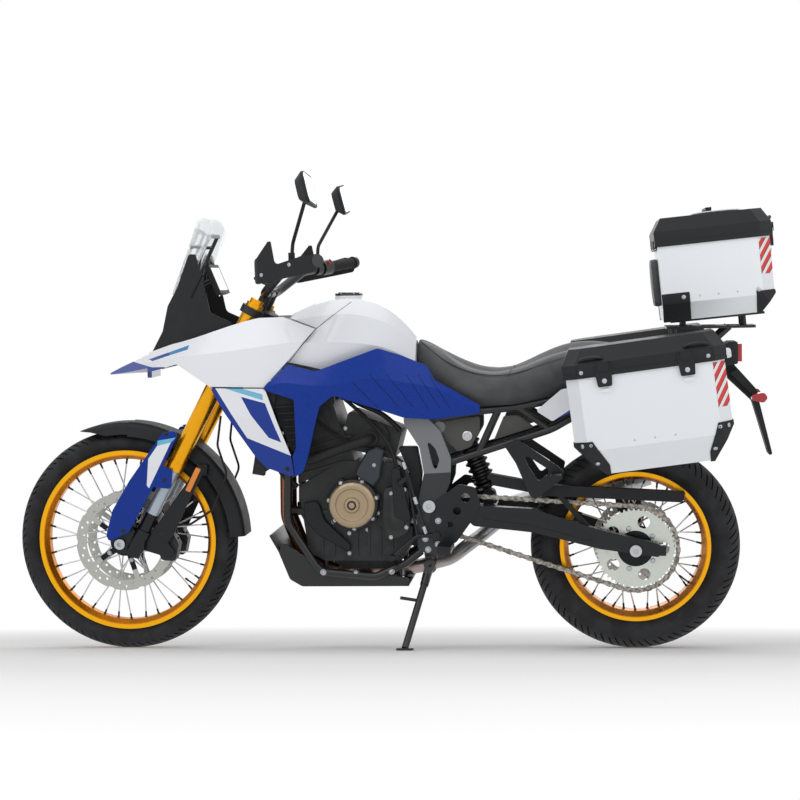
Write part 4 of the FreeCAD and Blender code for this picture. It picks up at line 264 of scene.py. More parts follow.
def grain(coat, size, depth, detail=2.0, stretch=(1, 1, 1)):
    """Raised grain of one size and depth, both in mm."""
    tree, shader, place = coat
    scaled = add(tree, "ShaderNodeMapping", {"Vector": place, "Scale": stretch}).outputs["Vector"]
    noise = add(tree, "ShaderNodeTexNoise", {"Vector": scaled, "Scale": 1 / (size * MM),
                                             "Detail": detail, "Roughness": 0.6})
    bump = add(tree, "ShaderNodeBump", {"Height": noise.outputs["Fac"], "Strength": 1.0,
                                        "Distance": depth * MM})
    tree.links.new(bump.outputs["Normal"], shader.inputs["Normal"])
    return bump


def tone(coat, light, dark, size, low=0.4, high=0.6):
    """Slow change between two near colours over patches of one size in mm."""
    tree, shader, place = coat
    noise = add(tree, "ShaderNodeTexNoise", {"Vector": place, "Scale": 1 / (size * MM),
                                             "Detail": 3.0})
    ramp = add(tree, "ShaderNodeValToRGB", {"Fac": noise.outputs["Fac"]})
    ramp.color_ramp.elements[0].position = low
    ramp.color_ramp.elements[0].color = (*linear(dark), 1)
    ramp.color_ramp.elements[1].position = high
    ramp.color_ramp.elements[1].color = (*linear(light), 1)
    tree.links.new(ramp.outputs["Color"], shader.inputs["Base Color"])
    return ramp.outputs["Color"]


def rub(coat, low, high, size):
    """Roughness that wanders between two values over patches of one size in mm."""
    tree, shader, place = coat
    noise = add(tree, "ShaderNodeTexNoise", {"Vector": place, "Scale": 1 / (size * MM),
                                             "Detail": 4.0})
    span = add(tree, "ShaderNodeMapRange", {"Value": noise.outputs["Fac"], "From Min": 0.3,
                                            "From Max": 0.7, "To Min": low, "To Max": high})
    tree.links.new(span.outputs["Result"], shader.inputs["Roughness"])


def inside(tree, place, corners):
    """1 within a convex outline of (x, z) points in mm, seen from either side."""
    axes = add(tree, "ShaderNodeSeparateXYZ", {"Vector": place}).outputs
    middle = [sum(c[i] for c in corners) / len(corners) for i in (0, 1)]
    within = None
    for (x0, z0), (x1, z1) in zip(corners, corners[1:] + corners[:1]):
        normal = (z1 - z0, x0 - x1)
        offset = normal[0] * x0 + normal[1] * z0
        if normal[0] * middle[0] + normal[1] * middle[1] < offset:
            normal, offset = (-normal[0], -normal[1]), -offset
        along = add(tree, "ShaderNodeMath", {0: axes["X"], 1: normal[0]}, operation="MULTIPLY")
        total = add(tree, "ShaderNodeMath", {0: axes["Z"], 1: normal[1], 2: along.outputs[0]},
                    operation="MULTIPLY_ADD")
        step = add(tree, "ShaderNodeMath", {0: total.outputs[0], 1: offset * MM},
                   operation="GREATER_THAN").outputs[0]
        if within is not None:
            step = add(tree, "ShaderNodeMath", {0: within, 1: step},
                       operation="MULTIPLY").outputs[0]
        within = step
    return within


def striped(coat, colour_in, marks):
    """Lays flat coloured film shapes over a colour: (hex colour, corners)."""
    tree, shader, place = coat
    for code, corners in marks:
        mix = add(tree, "ShaderNodeMix", {"Factor": inside(tree, place, corners)},
                  data_type="RGBA")
        if isinstance(colour_in, bpy.types.NodeSocket):
            tree.links.new(colour_in, mix.inputs[6])
        else:
            mix.inputs[6].default_value = (*linear(colour_in), 1)
        mix.inputs[7].default_value = (*linear(code), 1)
        colour_in = mix.outputs[2]
    tree.links.new(colour_in, shader.inputs["Base Color"])


def seam(a, b, width=2.4):
    """Corners of a thin line between two (x, z) points in mm."""
    a, b = Vector(a), Vector(b)
    along = (b - a).normalized() * width / 2
    side = Vector((-along.y, along.x))
    return [tuple(a + side), tuple(b + side), tuple(b - side), tuple(a - side)]


def tyre_rubber():
    # Filled natural rubber, vulcanised: near black, dull, a little greyer where it has worn.
    coat = finish("vulcanised_rubber", "1B1C1D", 0.72, Specular_IOR_Level=0.35)
    tone(coat, "26272A", "151517", 60)
    grain(coat, 1.6, 0.25)


def bodywork():
    # Two-pack gloss paint on injection-moulded ABS: white under clear coat, film graphics on it.
    line = "4A4C51"
    coat = finish("gloss_white_paint", "E9ECF1", 0.28, Coat_Weight=0.5, Coat_Roughness=0.04)
    striped(coat, "E9ECF1", [
        (BLUE, [(-70, 860), (-60, 876), (32, 911), (113, 895), (113, 860)]),
        (BLUE, [(112, 860), (112, 895), (155, 896), (172, 890), (172, 860)]),
        (BLUE, [(100, 919), (116, 914), (175, 932), (172, 941)]),
        ("2F7FB5", [(172, 941), (175, 932), (234, 949), (240, 963)]),
        (BLUE, [(1336, 690), (1340, 713), (1399, 751), (1560, 751), (1560, 690)]),
        ("26272A", [(660, 1104), (660, 1140), (772, 1140), (772, 1104)]),
        (line, seam((536, 1044), (637, 1008))), (line, seam((637, 1008), (736, 1086))),
        (line, seam((637, 1008), (547, 901)))])
    grain(coat, 9, 0.02, 1)
    # The wing panels: white field with film blocks inside a blue border.
    coat = finish("wing_panel_paint", "E9ECF1", 0.3, Coat_Weight=0.15, Coat_Roughness=0.06,
                  Specular_IOR_Level=0.3)
    striped(coat, "E9ECF1", [
        (BLUE, [(290, 850), (322, 837), (424, 681), (478, 580)]),
        (BLUE, [(424, 681), (559, 626), (612, 600), (560, 545), (470, 575)]),
        ("74B9DA", [(353, 832), (366, 843), (474, 813), (476, 795)]),
        (BLUE, [(407, 806), (482, 786), (530, 667), (491, 682), (437, 752)])])
    grain(coat, 9, 0.02, 1)
    # The same paint system in a deep metallic blue: fine flake under clear coat, with painted shade
    # along the pleats.
    coat = finish("gloss_blue_paint", BLUE, 0.4, 0.1, Coat_Weight=0.08, Coat_Roughness=0.1,
                  Specular_IOR_Level=0.2)
    flake = tone(coat, "03379A", "002A84", 2.2)
    # Dark blue lines along the pleats: painted shade in their creases, not a colour of the paint.
    striped(coat, flake, [("001A5A", seam(a, b, 2.6)) for a, b in (
        ((750, 845), (821, 767)), ((800, 868), (885, 766)), ((850, 868), (927, 766)),
        ((908, 866), (973, 757)), ((942, 866), (1007, 760)), ((975, 862), (1037, 760)))])
    grain(coat, 9, 0.02, 1)
    # The fork guards: blue, with a white film field and a light blue one above it.
    coat = finish("guard_blue_paint", BLUE, 0.38, 0.1, Coat_Weight=0.1, Coat_Roughness=0.08,
                  Specular_IOR_Level=0.2)
    striped(coat, BLUE, [
        ("E9ECF1", [(130, 654), (173, 664), (101, 523), (94, 532), (101, 614)]),
        ("74B9DA", [(132, 670), (189, 679), (174, 664), (130, 654)])])
    grain(coat, 9, 0.02, 1)


def plastics():
    # Spark-eroded, glass-filled polypropylene: dark grey, satin, with an even leathery grain.
    coat = finish("grained_polypropylene", "202123", 0.55, Specular_IOR_Level=0.25)
    grain(coat, 1.4, 0.12)
    rub(coat, 0.5, 0.62, 40)
    # Lid mouldings of the cases: the same resin, blacker and smoother.
    coat = finish("black_lid_moulding", "18191C", 0.46, Specular_IOR_Level=0.3)
    grain(coat, 1.8, 0.10)
    rub(coat, 0.40, 0.54, 50)
    # Side covers under the seat: the same resin in a warm mid grey.
    coat = finish("warm_grey_moulding", "4C4C49", 0.5, Specular_IOR_Level=0.35)
    grain(coat, 1.8, 0.10)
    # Nitrile rubber of hoses, grips, switch keys and valve stems: matt black.
    coat = finish("nitrile_rubber", "171718", 0.66, Specular_IOR_Level=0.35)
    grain(coat, 1.0, 0.08)


def ringed(coat, axle, bands):
    """Colours a turning part in rings about its axle: (hex colour, inner radius in mm)."""
    tree, shader, place = coat
    flat = add(tree, "ShaderNodeMapping", {
        "Vector": place, "Location": (-axle[0] * MM, 0, -axle[1] * MM)}).outputs["Vector"]
    flat = add(tree, "ShaderNodeVectorMath", {0: flat, 1: (1, 0, 1)}, operation="MULTIPLY")
    away = add(tree, "ShaderNodeVectorMath", {0: flat.outputs[0]}, operation="LENGTH")
    ramp = add(tree, "ShaderNodeValToRGB", {"Fac": away.outputs["Value"]})
    ramp.color_ramp.interpolation = "CONSTANT"
    rings = ramp.color_ramp.elements
    for number, (code, radius) in enumerate(bands):
        ring = rings[number] if number < 2 else rings.new(radius * MM)
        ring.position = radius * MM
        ring.color = (*linear(code), 1)
    tree.links.new(ramp.outputs["Color"], shader.inputs["Base Color"])


def metals():
    # Wire wheels: rim of gold anodised aluminium, stainless spokes and a black painted hub. The
    # rim's inner well is painted a darker orange than its flange, as painted shade.
    for name, axle, well, hub in (("front_wheel_metal", FRONT_AXLE, 253.6, 46),
                                  ("rear_wheel_metal", REAR_AXLE, 202.8, 64)):
        coat = finish(name, "F2AE14", 0.28, 0.85)
        # The darker orange band from the well outwards is painted shade on the one gold anodising.
        ringed(coat, axle, (("232427", 0), ("C6C9CE", hub), ("CE7E10", well),
                            ("F2AE14", well + 14)))
        rub(coat, 0.22, 0.38, 30)
    # Fork tubes of the same gold anodising, turned, so fine rings run round them.
    coat = finish("gold_anodised_tube", "E9A41A", 0.26, 0.9)
    rub(coat, 0.2, 0.34, 20)
    grain(coat, 1.2, 0.03, 1, (0.1, 0.1, 6))
    # Stainless brake discs on black carriers, and the sprocket on its black hub: ground flat
    # and pale, with circular grinding lines.
    for name, code, centre, width, carrier in (
            ("ground_stainless", "B2B3AD", FRONT_AXLE, 2.0, 92),
            ("ground_stainless_rear", "B2B3AD", REAR_AXLE, 2.0, 70),
            ("sprocket_steel", "C9CEC6", REAR_AXLE, 1.6, 52)):
        coat = finish(name, code, 0.30, 0.8)
        tree, shader, place = coat
        ringed(coat, centre, (("1E1F21", 0), (code, carrier)))
        hub = add(tree, "ShaderNodeMapping", {
            "Vector": place, "Location": (-centre[0] * MM, 0, -centre[1] * MM)}).outputs["Vector"]
        rings = add(tree, "ShaderNodeTexWave", {"Vector": hub, "Scale": 1 / (width * 20 * MM),
                                                "Distortion": 0.6, "Detail": 2.0},
                    wave_type="RINGS", rings_direction="Y")
        bump = add(tree, "ShaderNodeBump", {"Height": rings.outputs["Fac"], "Strength": 0.5,
                                            "Distance": 0.00004})
        tree.links.new(bump.outputs["Normal"], shader.inputs["Normal"])
        rub(coat, 0.22, 0.4, 25)
    # Sand-cast aluminium painted satin black: pebbled skin, duller in the hollows.
    coat = finish("cast_satin_black", "1B1C1E", 0.48, 0.2)
    tone(coat, "232427", "131415", 45)
    grain(coat, 2.2, 0.25, 4)
    # The starter's gear cover: the same casting in a bluish slate coat.
    coat = finish("slate_cover_coat", "2F343B", 0.36, 0.3)
    grain(coat, 2.2, 0.12, 2)
    # Machined aluminium, black anodised: arms, feet and clamps.
    coat = finish("black_anodised_aluminium", "1C1D20", 0.32, 0.45)
    rub(coat, 0.28, 0.44, 45)
    grain(coat, 1.6, 0.05)
    # Fork lowers: black anodised feet under hard-chromed tubes.
    coat = finish("chromed_fork_lower", "1C1D20", 0.3, 0.5)
    striped(coat, "1C1D20", [
        ("A9B4BF", [(84, 448), (120, 429), (196, 574), (160, 593)])])
    # Powder-coated steel tube: black, slight orange peel.
    coat = finish("powder_coated_steel", "141517", 0.36, 0.05)
    grain(coat, 3.0, 0.10)
    # Painted frame: satin enamel over welded steel, mid grey above and charcoal at the pivot.
    coat = finish("grey_frame_enamel", "74777A", 0.38, 0.3)
    striped(coat, "74777A", [
        ("2E3033", [(880, 200), (880, 548), (960, 560), (1100, 566), (1100, 200)])])
    grain(coat, 4.0, 0.08)
    rub(coat, 0.34, 0.48, 50)
    # Magnesium covers in bronze paint, satin.
    coat = finish("bronze_cover_paint", "A39076", 0.36, 0.65)
    rub(coat, 0.30, 0.46, 20)
    grain(coat, 1.6, 0.06)
    # Zinc-plated steel bolts and axles: bright, faintly clouded.
    coat = finish("zinc_plated_steel", "B9BCC0", 0.32, 0.9)
    rub(coat, 0.24, 0.42, 8)
    # Stainless exhaust, tinted brown by heat near the engine and plain towards the outlet.
    coat = finish("heat_tinted_stainless", "9A8672", 0.34, 0.9)
    tree, shader, place = coat
    axes = add(tree, "ShaderNodeSeparateXYZ", {"Vector": place}).outputs
    heat = add(tree, "ShaderNodeMapRange", {"Value": axes["X"], "From Min": 0.55,
                                            "From Max": 1.15}).outputs["Result"]
    ramp = add(tree, "ShaderNodeValToRGB", {"Fac": heat})
    ramp.color_ramp.elements[0].color = (*linear("8A5A3C"), 1)
    ramp.color_ramp.elements[1].color = (*linear("A9ABAD"), 1)
    tree.links.new(ramp.outputs["Color"], shader.inputs["Base Color"])
    rub(coat, 0.28, 0.44, 30)
    # Oiled chain steel: grey brown, glossy where the plates slide.
    coat = finish("oiled_chain_steel", "8F8A82", 0.34, 0.8)
    tone(coat, "A8A49C", "6A655D", 9)
    # Radiator: thin black fins 2 mm apart, drawn 4 mm apart so that they show.
    coat = finish("radiator_fins", "1E1F21", 0.50, 0.5)
    tree, shader, place = coat
    fins = add(tree, "ShaderNodeTexWave", {"Vector": place, "Scale": 1 / (4 * 20 * MM)},
               bands_direction="Z")
    bump = add(tree, "ShaderNodeBump", {"Height": fins.outputs["Fac"], "Strength": 0.8,
                                        "Distance": 0.0008})
    tree.links.new(bump.outputs["Normal"], shader.inputs["Normal"])
    # Case walls: brushed aluminium sheet, clear anodised, brushed along the case.
    coat = finish("brushed_case_aluminium", "E4E8EC", 0.40, 0.35)
    grain(coat, 3.0, 0.05, 3, (0.05, 1, 1))
    rub(coat, 0.34, 0.50, 60)


def clear_parts():
    # Cast polycarbonate screen: clear with a faint smoke tint, so it takes almost no colour.
    coat = finish("clear_polycarbonate", "C9D2D8", 0.05, IOR=1.585, Transmission_Weight=0.95,
                  Alpha=0.45)
    grain(coat, 60, 0.05, 0)
    # Headlamp and display covers: hard-coated polycarbonate over a bright reflector.
    coat = finish("lamp_cover", "DCE6EE", 0.06, IOR=1.585, Transmission_Weight=0.6,
                  Coat_Weight=0.5)
    grain(coat, 30, 0.03, 0)
    # Metallised reflector bowls and mirror glass: bright aluminium behind glass.
    coat = finish("mirror_silver", "D9DDE2", 0.06, 1.0)
    rub(coat, 0.04, 0.10, 30)
    # Moulded acrylic lenses with prisms 4 mm apart: red at the tail, amber on the fork.
    for name, code in (("red_acrylic_lens", "B01218"), ("amber_acrylic_lens", "F08A08")):
        coat = finish(name, code, 0.14, Coat_Weight=0.4, Transmission_Weight=0.05)
        tree, shader, place = coat
        prisms = add(tree, "ShaderNodeTexWave", {"Vector": place, "Scale": 1 / (4 * 20 * MM)},
                     bands_direction="Z")
        bump = add(tree, "ShaderNodeBump", {"Height": prisms.outputs["Fac"], "Strength": 0.7,
                                            "Distance": 0.0005})
        tree.links.new(bump.outputs["Normal"], shader.inputs["Normal"])
    # The instrument's dark glass.
    coat = finish("display_glass", "0C1016", 0.08, Coat_Weight=1.0)
    rub(coat, 0.06, 0.12, 40)


def upholstery():
    # Vinyl-coated knit over foam: dark grey, a leather grain of about 3 mm, a soft sheen.
    coat = finish("grained_vinyl", "3A3B3D", 0.58, Sheen_Weight=0.15, Sheen_Roughness=0.5)
    tree, shader, place = coat
    tone(coat, "414245", "333436", 70)
    cells = add(tree, "ShaderNodeTexVoronoi", {"Vector": place, "Scale": 1 / (3.0 * MM)},
                feature="DISTANCE_TO_EDGE")
    bump = add(tree, "ShaderNodeBump", {"Height": cells.outputs["Distance"], "Strength": 0.8,
                                        "Distance": 0.0004})
    tree.links.new(bump.outputs["Normal"], shader.inputs["Normal"])
    # Sewn seams: black thread lying in a bead 3 mm thick.
    coat = finish("seam_thread", "2A2B2D", 0.7)
    grain(coat, 1.5, 0.3)


def hazard_film():
    # Retroreflective film: red bars on white at 45 degrees, each with a black lower edge line.
    coat = finish("hazard_film", "EDEEF0", 0.32, Coat_Weight=0.3)
    tree, shader, place = coat
    uv = add(tree, "ShaderNodeUVMap", uv_map="UVMap").outputs["UV"]
    axes = add(tree, "ShaderNodeSeparateXYZ", {"Vector": uv}).outputs
    slant = add(tree, "ShaderNodeMath", {0: axes["X"], 1: axes["Y"]}, operation="ADD").outputs[0]
    turns = add(tree, "ShaderNodeMath", {0: slant, 1: 1 / 0.036}, operation="MULTIPLY").outputs[0]
    part = add(tree, "ShaderNodeMath", {0: turns}, operation="FRACT").outputs[0]
    ramp = add(tree, "ShaderNodeValToRGB", {"Fac": part})
    ramp.color_ramp.interpolation = "CONSTANT"
    ramp.color_ramp.elements[0].color = (*linear("EDEEF0"), 1)
    ramp.color_ramp.elements[1].position = 0.40
    ramp.color_ramp.elements[1].color = (*linear("141416"), 1)
    ramp.color_ramp.elements.new(0.50).color = (*linear("D9150F"), 1)
    tree.links.new(ramp.outputs["Color"], shader.inputs["Base Color"])


def all_finishes():
    for make in (tyre_rubber, bodywork, plastics, metals, clear_parts, upholstery, hazard_film):
        make()


NODE_FINISH = {
    "front_wheel_rim": "front_wheel_metal", "rear_wheel_rim": "rear_wheel_metal",
    "front_tyre": "vulcanised_rubber", "rear_tyre": "vulcanised_rubber",
    "front_discs": "ground_stainless", "rear_disc": "ground_stainless_rear",
    "rear_sprocket": "sprocket_steel", "fork_tubes": "gold_anodised_tube",
    "fork_lowers": "chromed_fork_lower", "front_calipers": "cast_satin_black",
    "front_axle": "zinc_plated_steel", "triple_clamps": "cast_satin_black",
    "handlebar": "powder_coated_steel", "handguards": "grained_polypropylene",
    "mirrors": "grained_polypropylene", "front_fender": "grained_polypropylene",
    "fork_guards": "guard_blue_paint", "brake_hoses": "nitrile_rubber",
    "main_frame": "grey_frame_enamel", "axle_bolts": "zinc_plated_steel",
    "engine_block": "cast_satin_black", "engine_covers": "cast_satin_black",
    "radiator": "radiator_fins", "coolant_hose": "nitrile_rubber",
    "exhaust": "heat_tinted_stainless", "belly_guard": "powder_coated_steel",
    "swingarm": "black_anodised_aluminium", "drive_chain": "oiled_chain_steel",
    "chain_guard": "grained_polypropylene", "rear_caliper": "cast_satin_black",
    "shock_absorber": "powder_coated_steel", "subframe": "powder_coated_steel",
    "fuel_tank": "gloss_white_paint", "seat": "grained_vinyl",
    "nose_cowl": "gloss_white_paint", "headlamp_cowl": "grained_polypropylene",
    "headlamps": "lamp_cover", "windscreen": "clear_polycarbonate",
    "front_stay": "powder_coated_steel", "display": "grained_polypropylene",
    "wing_panels": "wing_panel_paint", "side_panels": "gloss_blue_paint",
    "tail_panels": "gloss_white_paint", "rear_fender": "grained_polypropylene",
    "rear_lamps": "red_acrylic_lens", "left_case": "brushed_case_aluminium",
    "right_case": "brushed_case_aluminium", "top_case": "brushed_case_aluminium",
    "left_lid": "black_lid_moulding", "right_lid": "black_lid_moulding",
    "top_lid": "black_lid_moulding", "case_guards": "grained_polypropylene",
    "backrest_pad": "grained_vinyl", "pannier_racks": "powder_coated_steel",
    "top_rack": "powder_coated_steel", "footrests": "black_anodised_aluminium",
    "side_stand": "powder_coated_steel",
}


class MotorcycleSizes(bpy.types.PropertyGroup):
    tread_depth: FloatProperty(name="Tread depth", description="Depth of the tyres' grooves",
                               default=0.0055, unit="LENGTH")
    front_pitches: IntProperty(name="Front tread pitches", default=44,
                               description="Repeats of the tread round the front tyre")
    rear_pitches: IntProperty(name="Rear tread pitches", default=40,
                              description="Repeats of the tread round the rear tyre")
    seat_swell: FloatProperty(name="Seat swell", default=0.006, unit="LENGTH",
                              description="How far the seat's cover may swell over its foam")
    grip_rib: FloatProperty(name="Grip rib", default=0.0008, unit="LENGTH",
                            description="Height of the ribs on the handlebar grips")
    stitch: FloatProperty(name="Seam bead", default=0.0016, unit="LENGTH",
                          description="Radius of the seat's sewn seam bead")


class MotorcycleColours(bpy.types.PropertyGroup):
    floor: FloatVectorProperty(name="Floor", description="Colour of the studio floor",
                               subtype="COLOR", default=(0.93, 0.93, 0.93))


def seen_by(tree, *rays):
    """1 for each of the kinds of ray named, 0 for any other."""
    path = add(tree, "ShaderNodeLightPath").outputs
    seen = path[rays[0]]
    for ray in rays[1:]:
        seen = add(tree, "ShaderNodeMath", {0: seen, 1: path[ray]},
                   operation="MAXIMUM").outputs[0]
    return seen


# The photograph's camera: its place in upright metres, its turn, downward pitch and roll in
# degrees, and its lens in mm.
CAMERA_AT = (1.467456, -5.936938, 1.158903)
CAMERA_TURN = (5.7509, 3.6669, -1.1041)
CAMERA_LENS = 86.44


class MOTORCYCLE_OT_stage(bpy.types.Operator):
    """Sets the floor, the soft lamps and the photograph's camera"""
    bl_idname = "motorcycle.stage"
    bl_label = "Studio stage"

    def execute(self, context):
        unselected()
        bpy.ops.mesh.primitive_plane_add(size=60)
        floor = named("studio_floor")
        tree = bpy.data.materials.new("matt_floor_paint")
        tree.use_nodes = True
        shader = tree.node_tree.nodes["Principled BSDF"]
        colour = context.scene.motorcycle_colours.floor
        shader.inputs["Base Color"].default_value = (*colour, 1)
        shader.inputs["Roughness"].default_value = 0.9
        seen = add(tree.node_tree, "ShaderNodeEmission", {"Color": (1, 1, 1, 1), "Strength": 1.0})
        both = seen_by(tree.node_tree, "Is Glossy Ray", "Is Transmission Ray")
        spot = add(tree.node_tree, "ShaderNodeTexCoord").outputs["Object"]
        away = add(tree.node_tree, "ShaderNodeVectorMath", {0: spot}, operation="LENGTH")
        fade = add(tree.node_tree, "ShaderNodeMapRange", {
            "Value": away.outputs["Value"], "From Min": 1.6, "From Max": 3.4})
        both = add(tree.node_tree, "ShaderNodeMath",
                   {0: both, 1: fade.outputs["Result"]}, operation="MAXIMUM")
        mix = add(tree.node_tree, "ShaderNodeMixShader", {
            "Fac": both.outputs[0], 1: shader.outputs["BSDF"], 2: seen.outputs["Emission"]})
        tree.node_tree.links.new(mix.outputs[0],
                                 tree.node_tree.nodes["Material Output"].inputs["Surface"])
        floor.data.materials.append(tree)
        world = bpy.data.worlds.new("studio_light")
        context.scene.world = world
        world.use_nodes = True
        sky = world.node_tree
        back = sky.nodes["Background"]
        back.inputs["Strength"].default_value = 0.42
        back.inputs["Color"].default_value = (1, 1, 1, 1)
        white = add(sky, "ShaderNodeBackground", {"Color": (1, 1, 1, 1), "Strength": 1.0})
        shown = seen_by(sky, "Is Camera Ray", "Is Glossy Ray", "Is Transmission Ray")
        mix = add(sky, "ShaderNodeMixShader", {"Fac": shown, 1: back.outputs[0],
                                               2: white.outputs[0]})
        sky.links.new(mix.outputs[0], sky.nodes["World Output"].inputs["Surface"])
        for name, at, aim, power, size in (
                ("key_softbox", (-1.6, -3.4, 3.4), (0, 0, 0.6), 52, 3.0),
                ("side_softbox", (2.6, -3.2, 2.0), (0.2, 0, 0.6), 24, 2.4),
                ("top_softbox", (0.2, 0.4, 4.2), (0, 0, 0.5), 36, 3.4),
                ("back_softbox", (0.5, 3.6, 2.6), (0, 0, 0.7), 20, 3.0)):
            lamp = bpy.data.lights.new(name, "AREA")
            lamp.energy = power
            lamp.size = size
            obj = bpy.data.objects.new(name, lamp)
            context.scene.collection.objects.link(obj)
            obj.location = at
            way = Vector(aim) - Vector(at)
            obj.rotation_euler = way.to_track_quat("-Z", "Y").to_euler()
        yaw, down, roll = (math.radians(a) for a in CAMERA_TURN)
        forward = Vector((-math.sin(yaw) * math.cos(down), math.cos(yaw) * math.cos(down),
                          -math.sin(down)))
        level = Vector((math.cos(yaw), math.sin(yaw), 0))
        raised = level.cross(forward)
        right = level * math.cos(roll) + raised * math.sin(roll)
        up = raised * math.cos(roll) - level * math.sin(roll)
        lens = bpy.data.cameras.new("photo_camera")
        lens.lens = CAMERA_LENS
        lens.sensor_width = 36.0
        lens.clip_end = 100
        camera = bpy.data.objects.new("photo_camera", lens)
        context.scene.collection.objects.link(camera)
        view = Matrix((right, up, -forward)).transposed().to_4x4()
        view.translation = Vector(CAMERA_AT)
        camera.matrix_world = LEANED @ view
        context.scene.camera = camera
        context.scene.view_settings.view_transform = "Standard"
        return {"FINISHED"}


class MOTORCYCLE_OT_paint(bpy.types.Operator):
    """Gives every node of the frame its own finish"""
    bl_idname = "motorcycle.paint"
    bl_label = "Finish the frame"

    def execute(self, context):
        all_finishes()
        for name, node in NODES.items():
            node.data.materials.clear()
            node.data.materials.append(FINISHES[NODE_FINISH[name]])
        return {"FINISHED"}


# Outer radius, width, crown radius, bead radius, flange radius and rim width, in mm.
FRONT_TYRE = (347.5, 92, 50, 266.7, 283, 68)
REAR_TYRE = (321, 150, 88, 215.9, 230, 116)


def tyre_section(outer, width, crown, bead, flange, rim_width):
    """The tyre's section from foot to foot over the crown and back inside: (radius, y) in mm."""
    half = width / 2
    centre = outer - crown
    edge_half = half - 4
    start = math.acos(min(1.0, edge_half / crown))
    foot = rim_width / 2 - 4.3
    over = []
    for step in range(21):
        angle = start + (math.pi - 2 * start) * step / 20
        over.append((centre + crown * math.sin(angle), -crown * math.cos(angle)))
    edge = centre + crown * math.sin(start)
    wall = []
    for step in range(1, 7):
        share = step / 7
        r = flange + 3 + (edge - flange - 3) * share
        swell = (half - (foot + edge_half) / 2) * 4 * share * (1 - share)
        bulge = foot + (edge_half - foot) * share + swell
        wall.append((r, min(bulge, half)))
    inner = [(bead + 4.3, foot), (flange + 3, foot)]
    left = [(r, -y) for r, y in inner + wall]
    right = [(r, y) for r, y in reversed(inner + wall)]
    return left + over + right


class MOTORCYCLE_OT_tyres(bpy.types.Operator):
    """Models both tyres with their tread blocks, in place of the plain solids"""
    bl_idname = "motorcycle.tyres"
    bl_label = "Tyres"

    def execute(self, context):
        sizes = context.scene.motorcycle_sizes
        for name, node, body, axle, shape, pitches in (
                ("front_tyre_tread", "front_tyre", "front_wheel", FRONT_AXLE,
                 FRONT_TYRE, sizes.front_pitches),
                ("rear_tyre_tread", "rear_tyre", "rear_wheel", REAR_AXLE,
                 REAR_TYRE, sizes.rear_pitches)):
            section = tyre_section(*shape)
            rows = len(section)
            around = 8
            unselected()
            bpy.ops.mesh.primitive_grid_add(x_subdivisions=around, y_subdivisions=rows, size=2)
            obj = named(name)
            turn = 2 * math.pi / pitches
            cells = {}
            for vertex in obj.data.vertices:
                i = round((vertex.co.x + 1) / 2 * around)
                j = round((vertex.co.y + 1) / 2 * rows)
                cells[vertex.index] = (i, j)
                r, y = section[j % rows]
                angle = turn * (i / around + 0.9 * min(1.0, abs(j - 18) / 10))
                vertex.co = (r * MM * math.sin(angle), y * MM, r * MM * math.cos(angle))
            grooves = obj.data.attributes.new("groove", "BOOLEAN", "FACE")
            for face in obj.data.polygons:
                i = min(cells[v][0] for v in face.vertices)
                j = min(cells[v][1] for v in face.vertices) - 8
                across = abs(j - 9.5)
                long_cut = i == (0 if j < 10 else 4) and 2 < across < 9
                short_cut = i == (4 if j < 10 else 0) and 5 < across < 10
                grooves.data[face.index].value = 1 < across < 2 or long_cut or short_cut
            copies = [obj]
            for k in range(1, pitches):
                twin = obj.copy()
                twin.data = obj.data.copy()
                context.scene.collection.objects.link(twin)
                twin.data.transform(Matrix.Rotation(turn * k, 4, "Y"))
                copies.append(twin)
            tyre = joined(name, copies)
            righted(tyre, 0.00002)
            bpy.ops.object.mode_set(mode="EDIT")
            bpy.ops.mesh.select_mode(type="FACE")
            bpy.ops.mesh.select_all(action="DESELECT")
            bpy.ops.object.mode_set(mode="OBJECT")
            for face, mark in zip(tyre.data.polygons, tyre.data.attributes["groove"].data):
                face.select = mark.value
            bpy.ops.object.mode_set(mode="EDIT")
            bpy.ops.mesh.extrude_region_shrink_fatten(
                TRANSFORM_OT_shrink_fatten={"value": -sizes.tread_depth})
            bpy.ops.object.mode_set(mode="OBJECT")
            tyre.data.attributes.remove(tyre.data.attributes["groove"])
            tyre.data.transform(Matrix.Translation((axle[0] * MM, 0, axle[1] * MM)))
            set_in(tyre, "vulcanised_rubber", body, 30)
            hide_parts(node)
        return {"FINISHED"}


def puffed(source, name, voxel, cap, pressure):
    """A copy of a soft solid, remeshed and swelled as a cover over foam, no further than cap."""
    twin = source.copy()
    twin.data = source.data.copy()
    twin.parent = None
    for key in list(twin.keys()):
        del twin[key]
    bpy.context.scene.collection.objects.link(twin)
    chosen(twin)
    named(name)
    righted(twin)
    applied(twin, "REMESH", mode="VOXEL", voxel_size=voxel)
    applied(twin, "SMOOTH", factor=0.6, iterations=4)
    start = [v.co.copy() for v in twin.data.vertices]
    chosen(twin)
    cloth = twin.modifiers.new("cloth", "CLOTH")
    cloth.settings.use_pressure = True
    cloth.settings.uniform_pressure_force = pressure
    cloth.settings.effector_weights.gravity = 0
    cloth.settings.quality = 5
    for step in range(1, 13):
        bpy.context.scene.frame_set(step)
    bpy.ops.object.modifier_apply(modifier=cloth.name)
    bpy.context.scene.frame_set(1)
    for vertex, old in zip(twin.data.vertices, start):
        move = vertex.co - old
        if move.length > cap:
            vertex.co = old + move * (cap / move.length)
    return twin


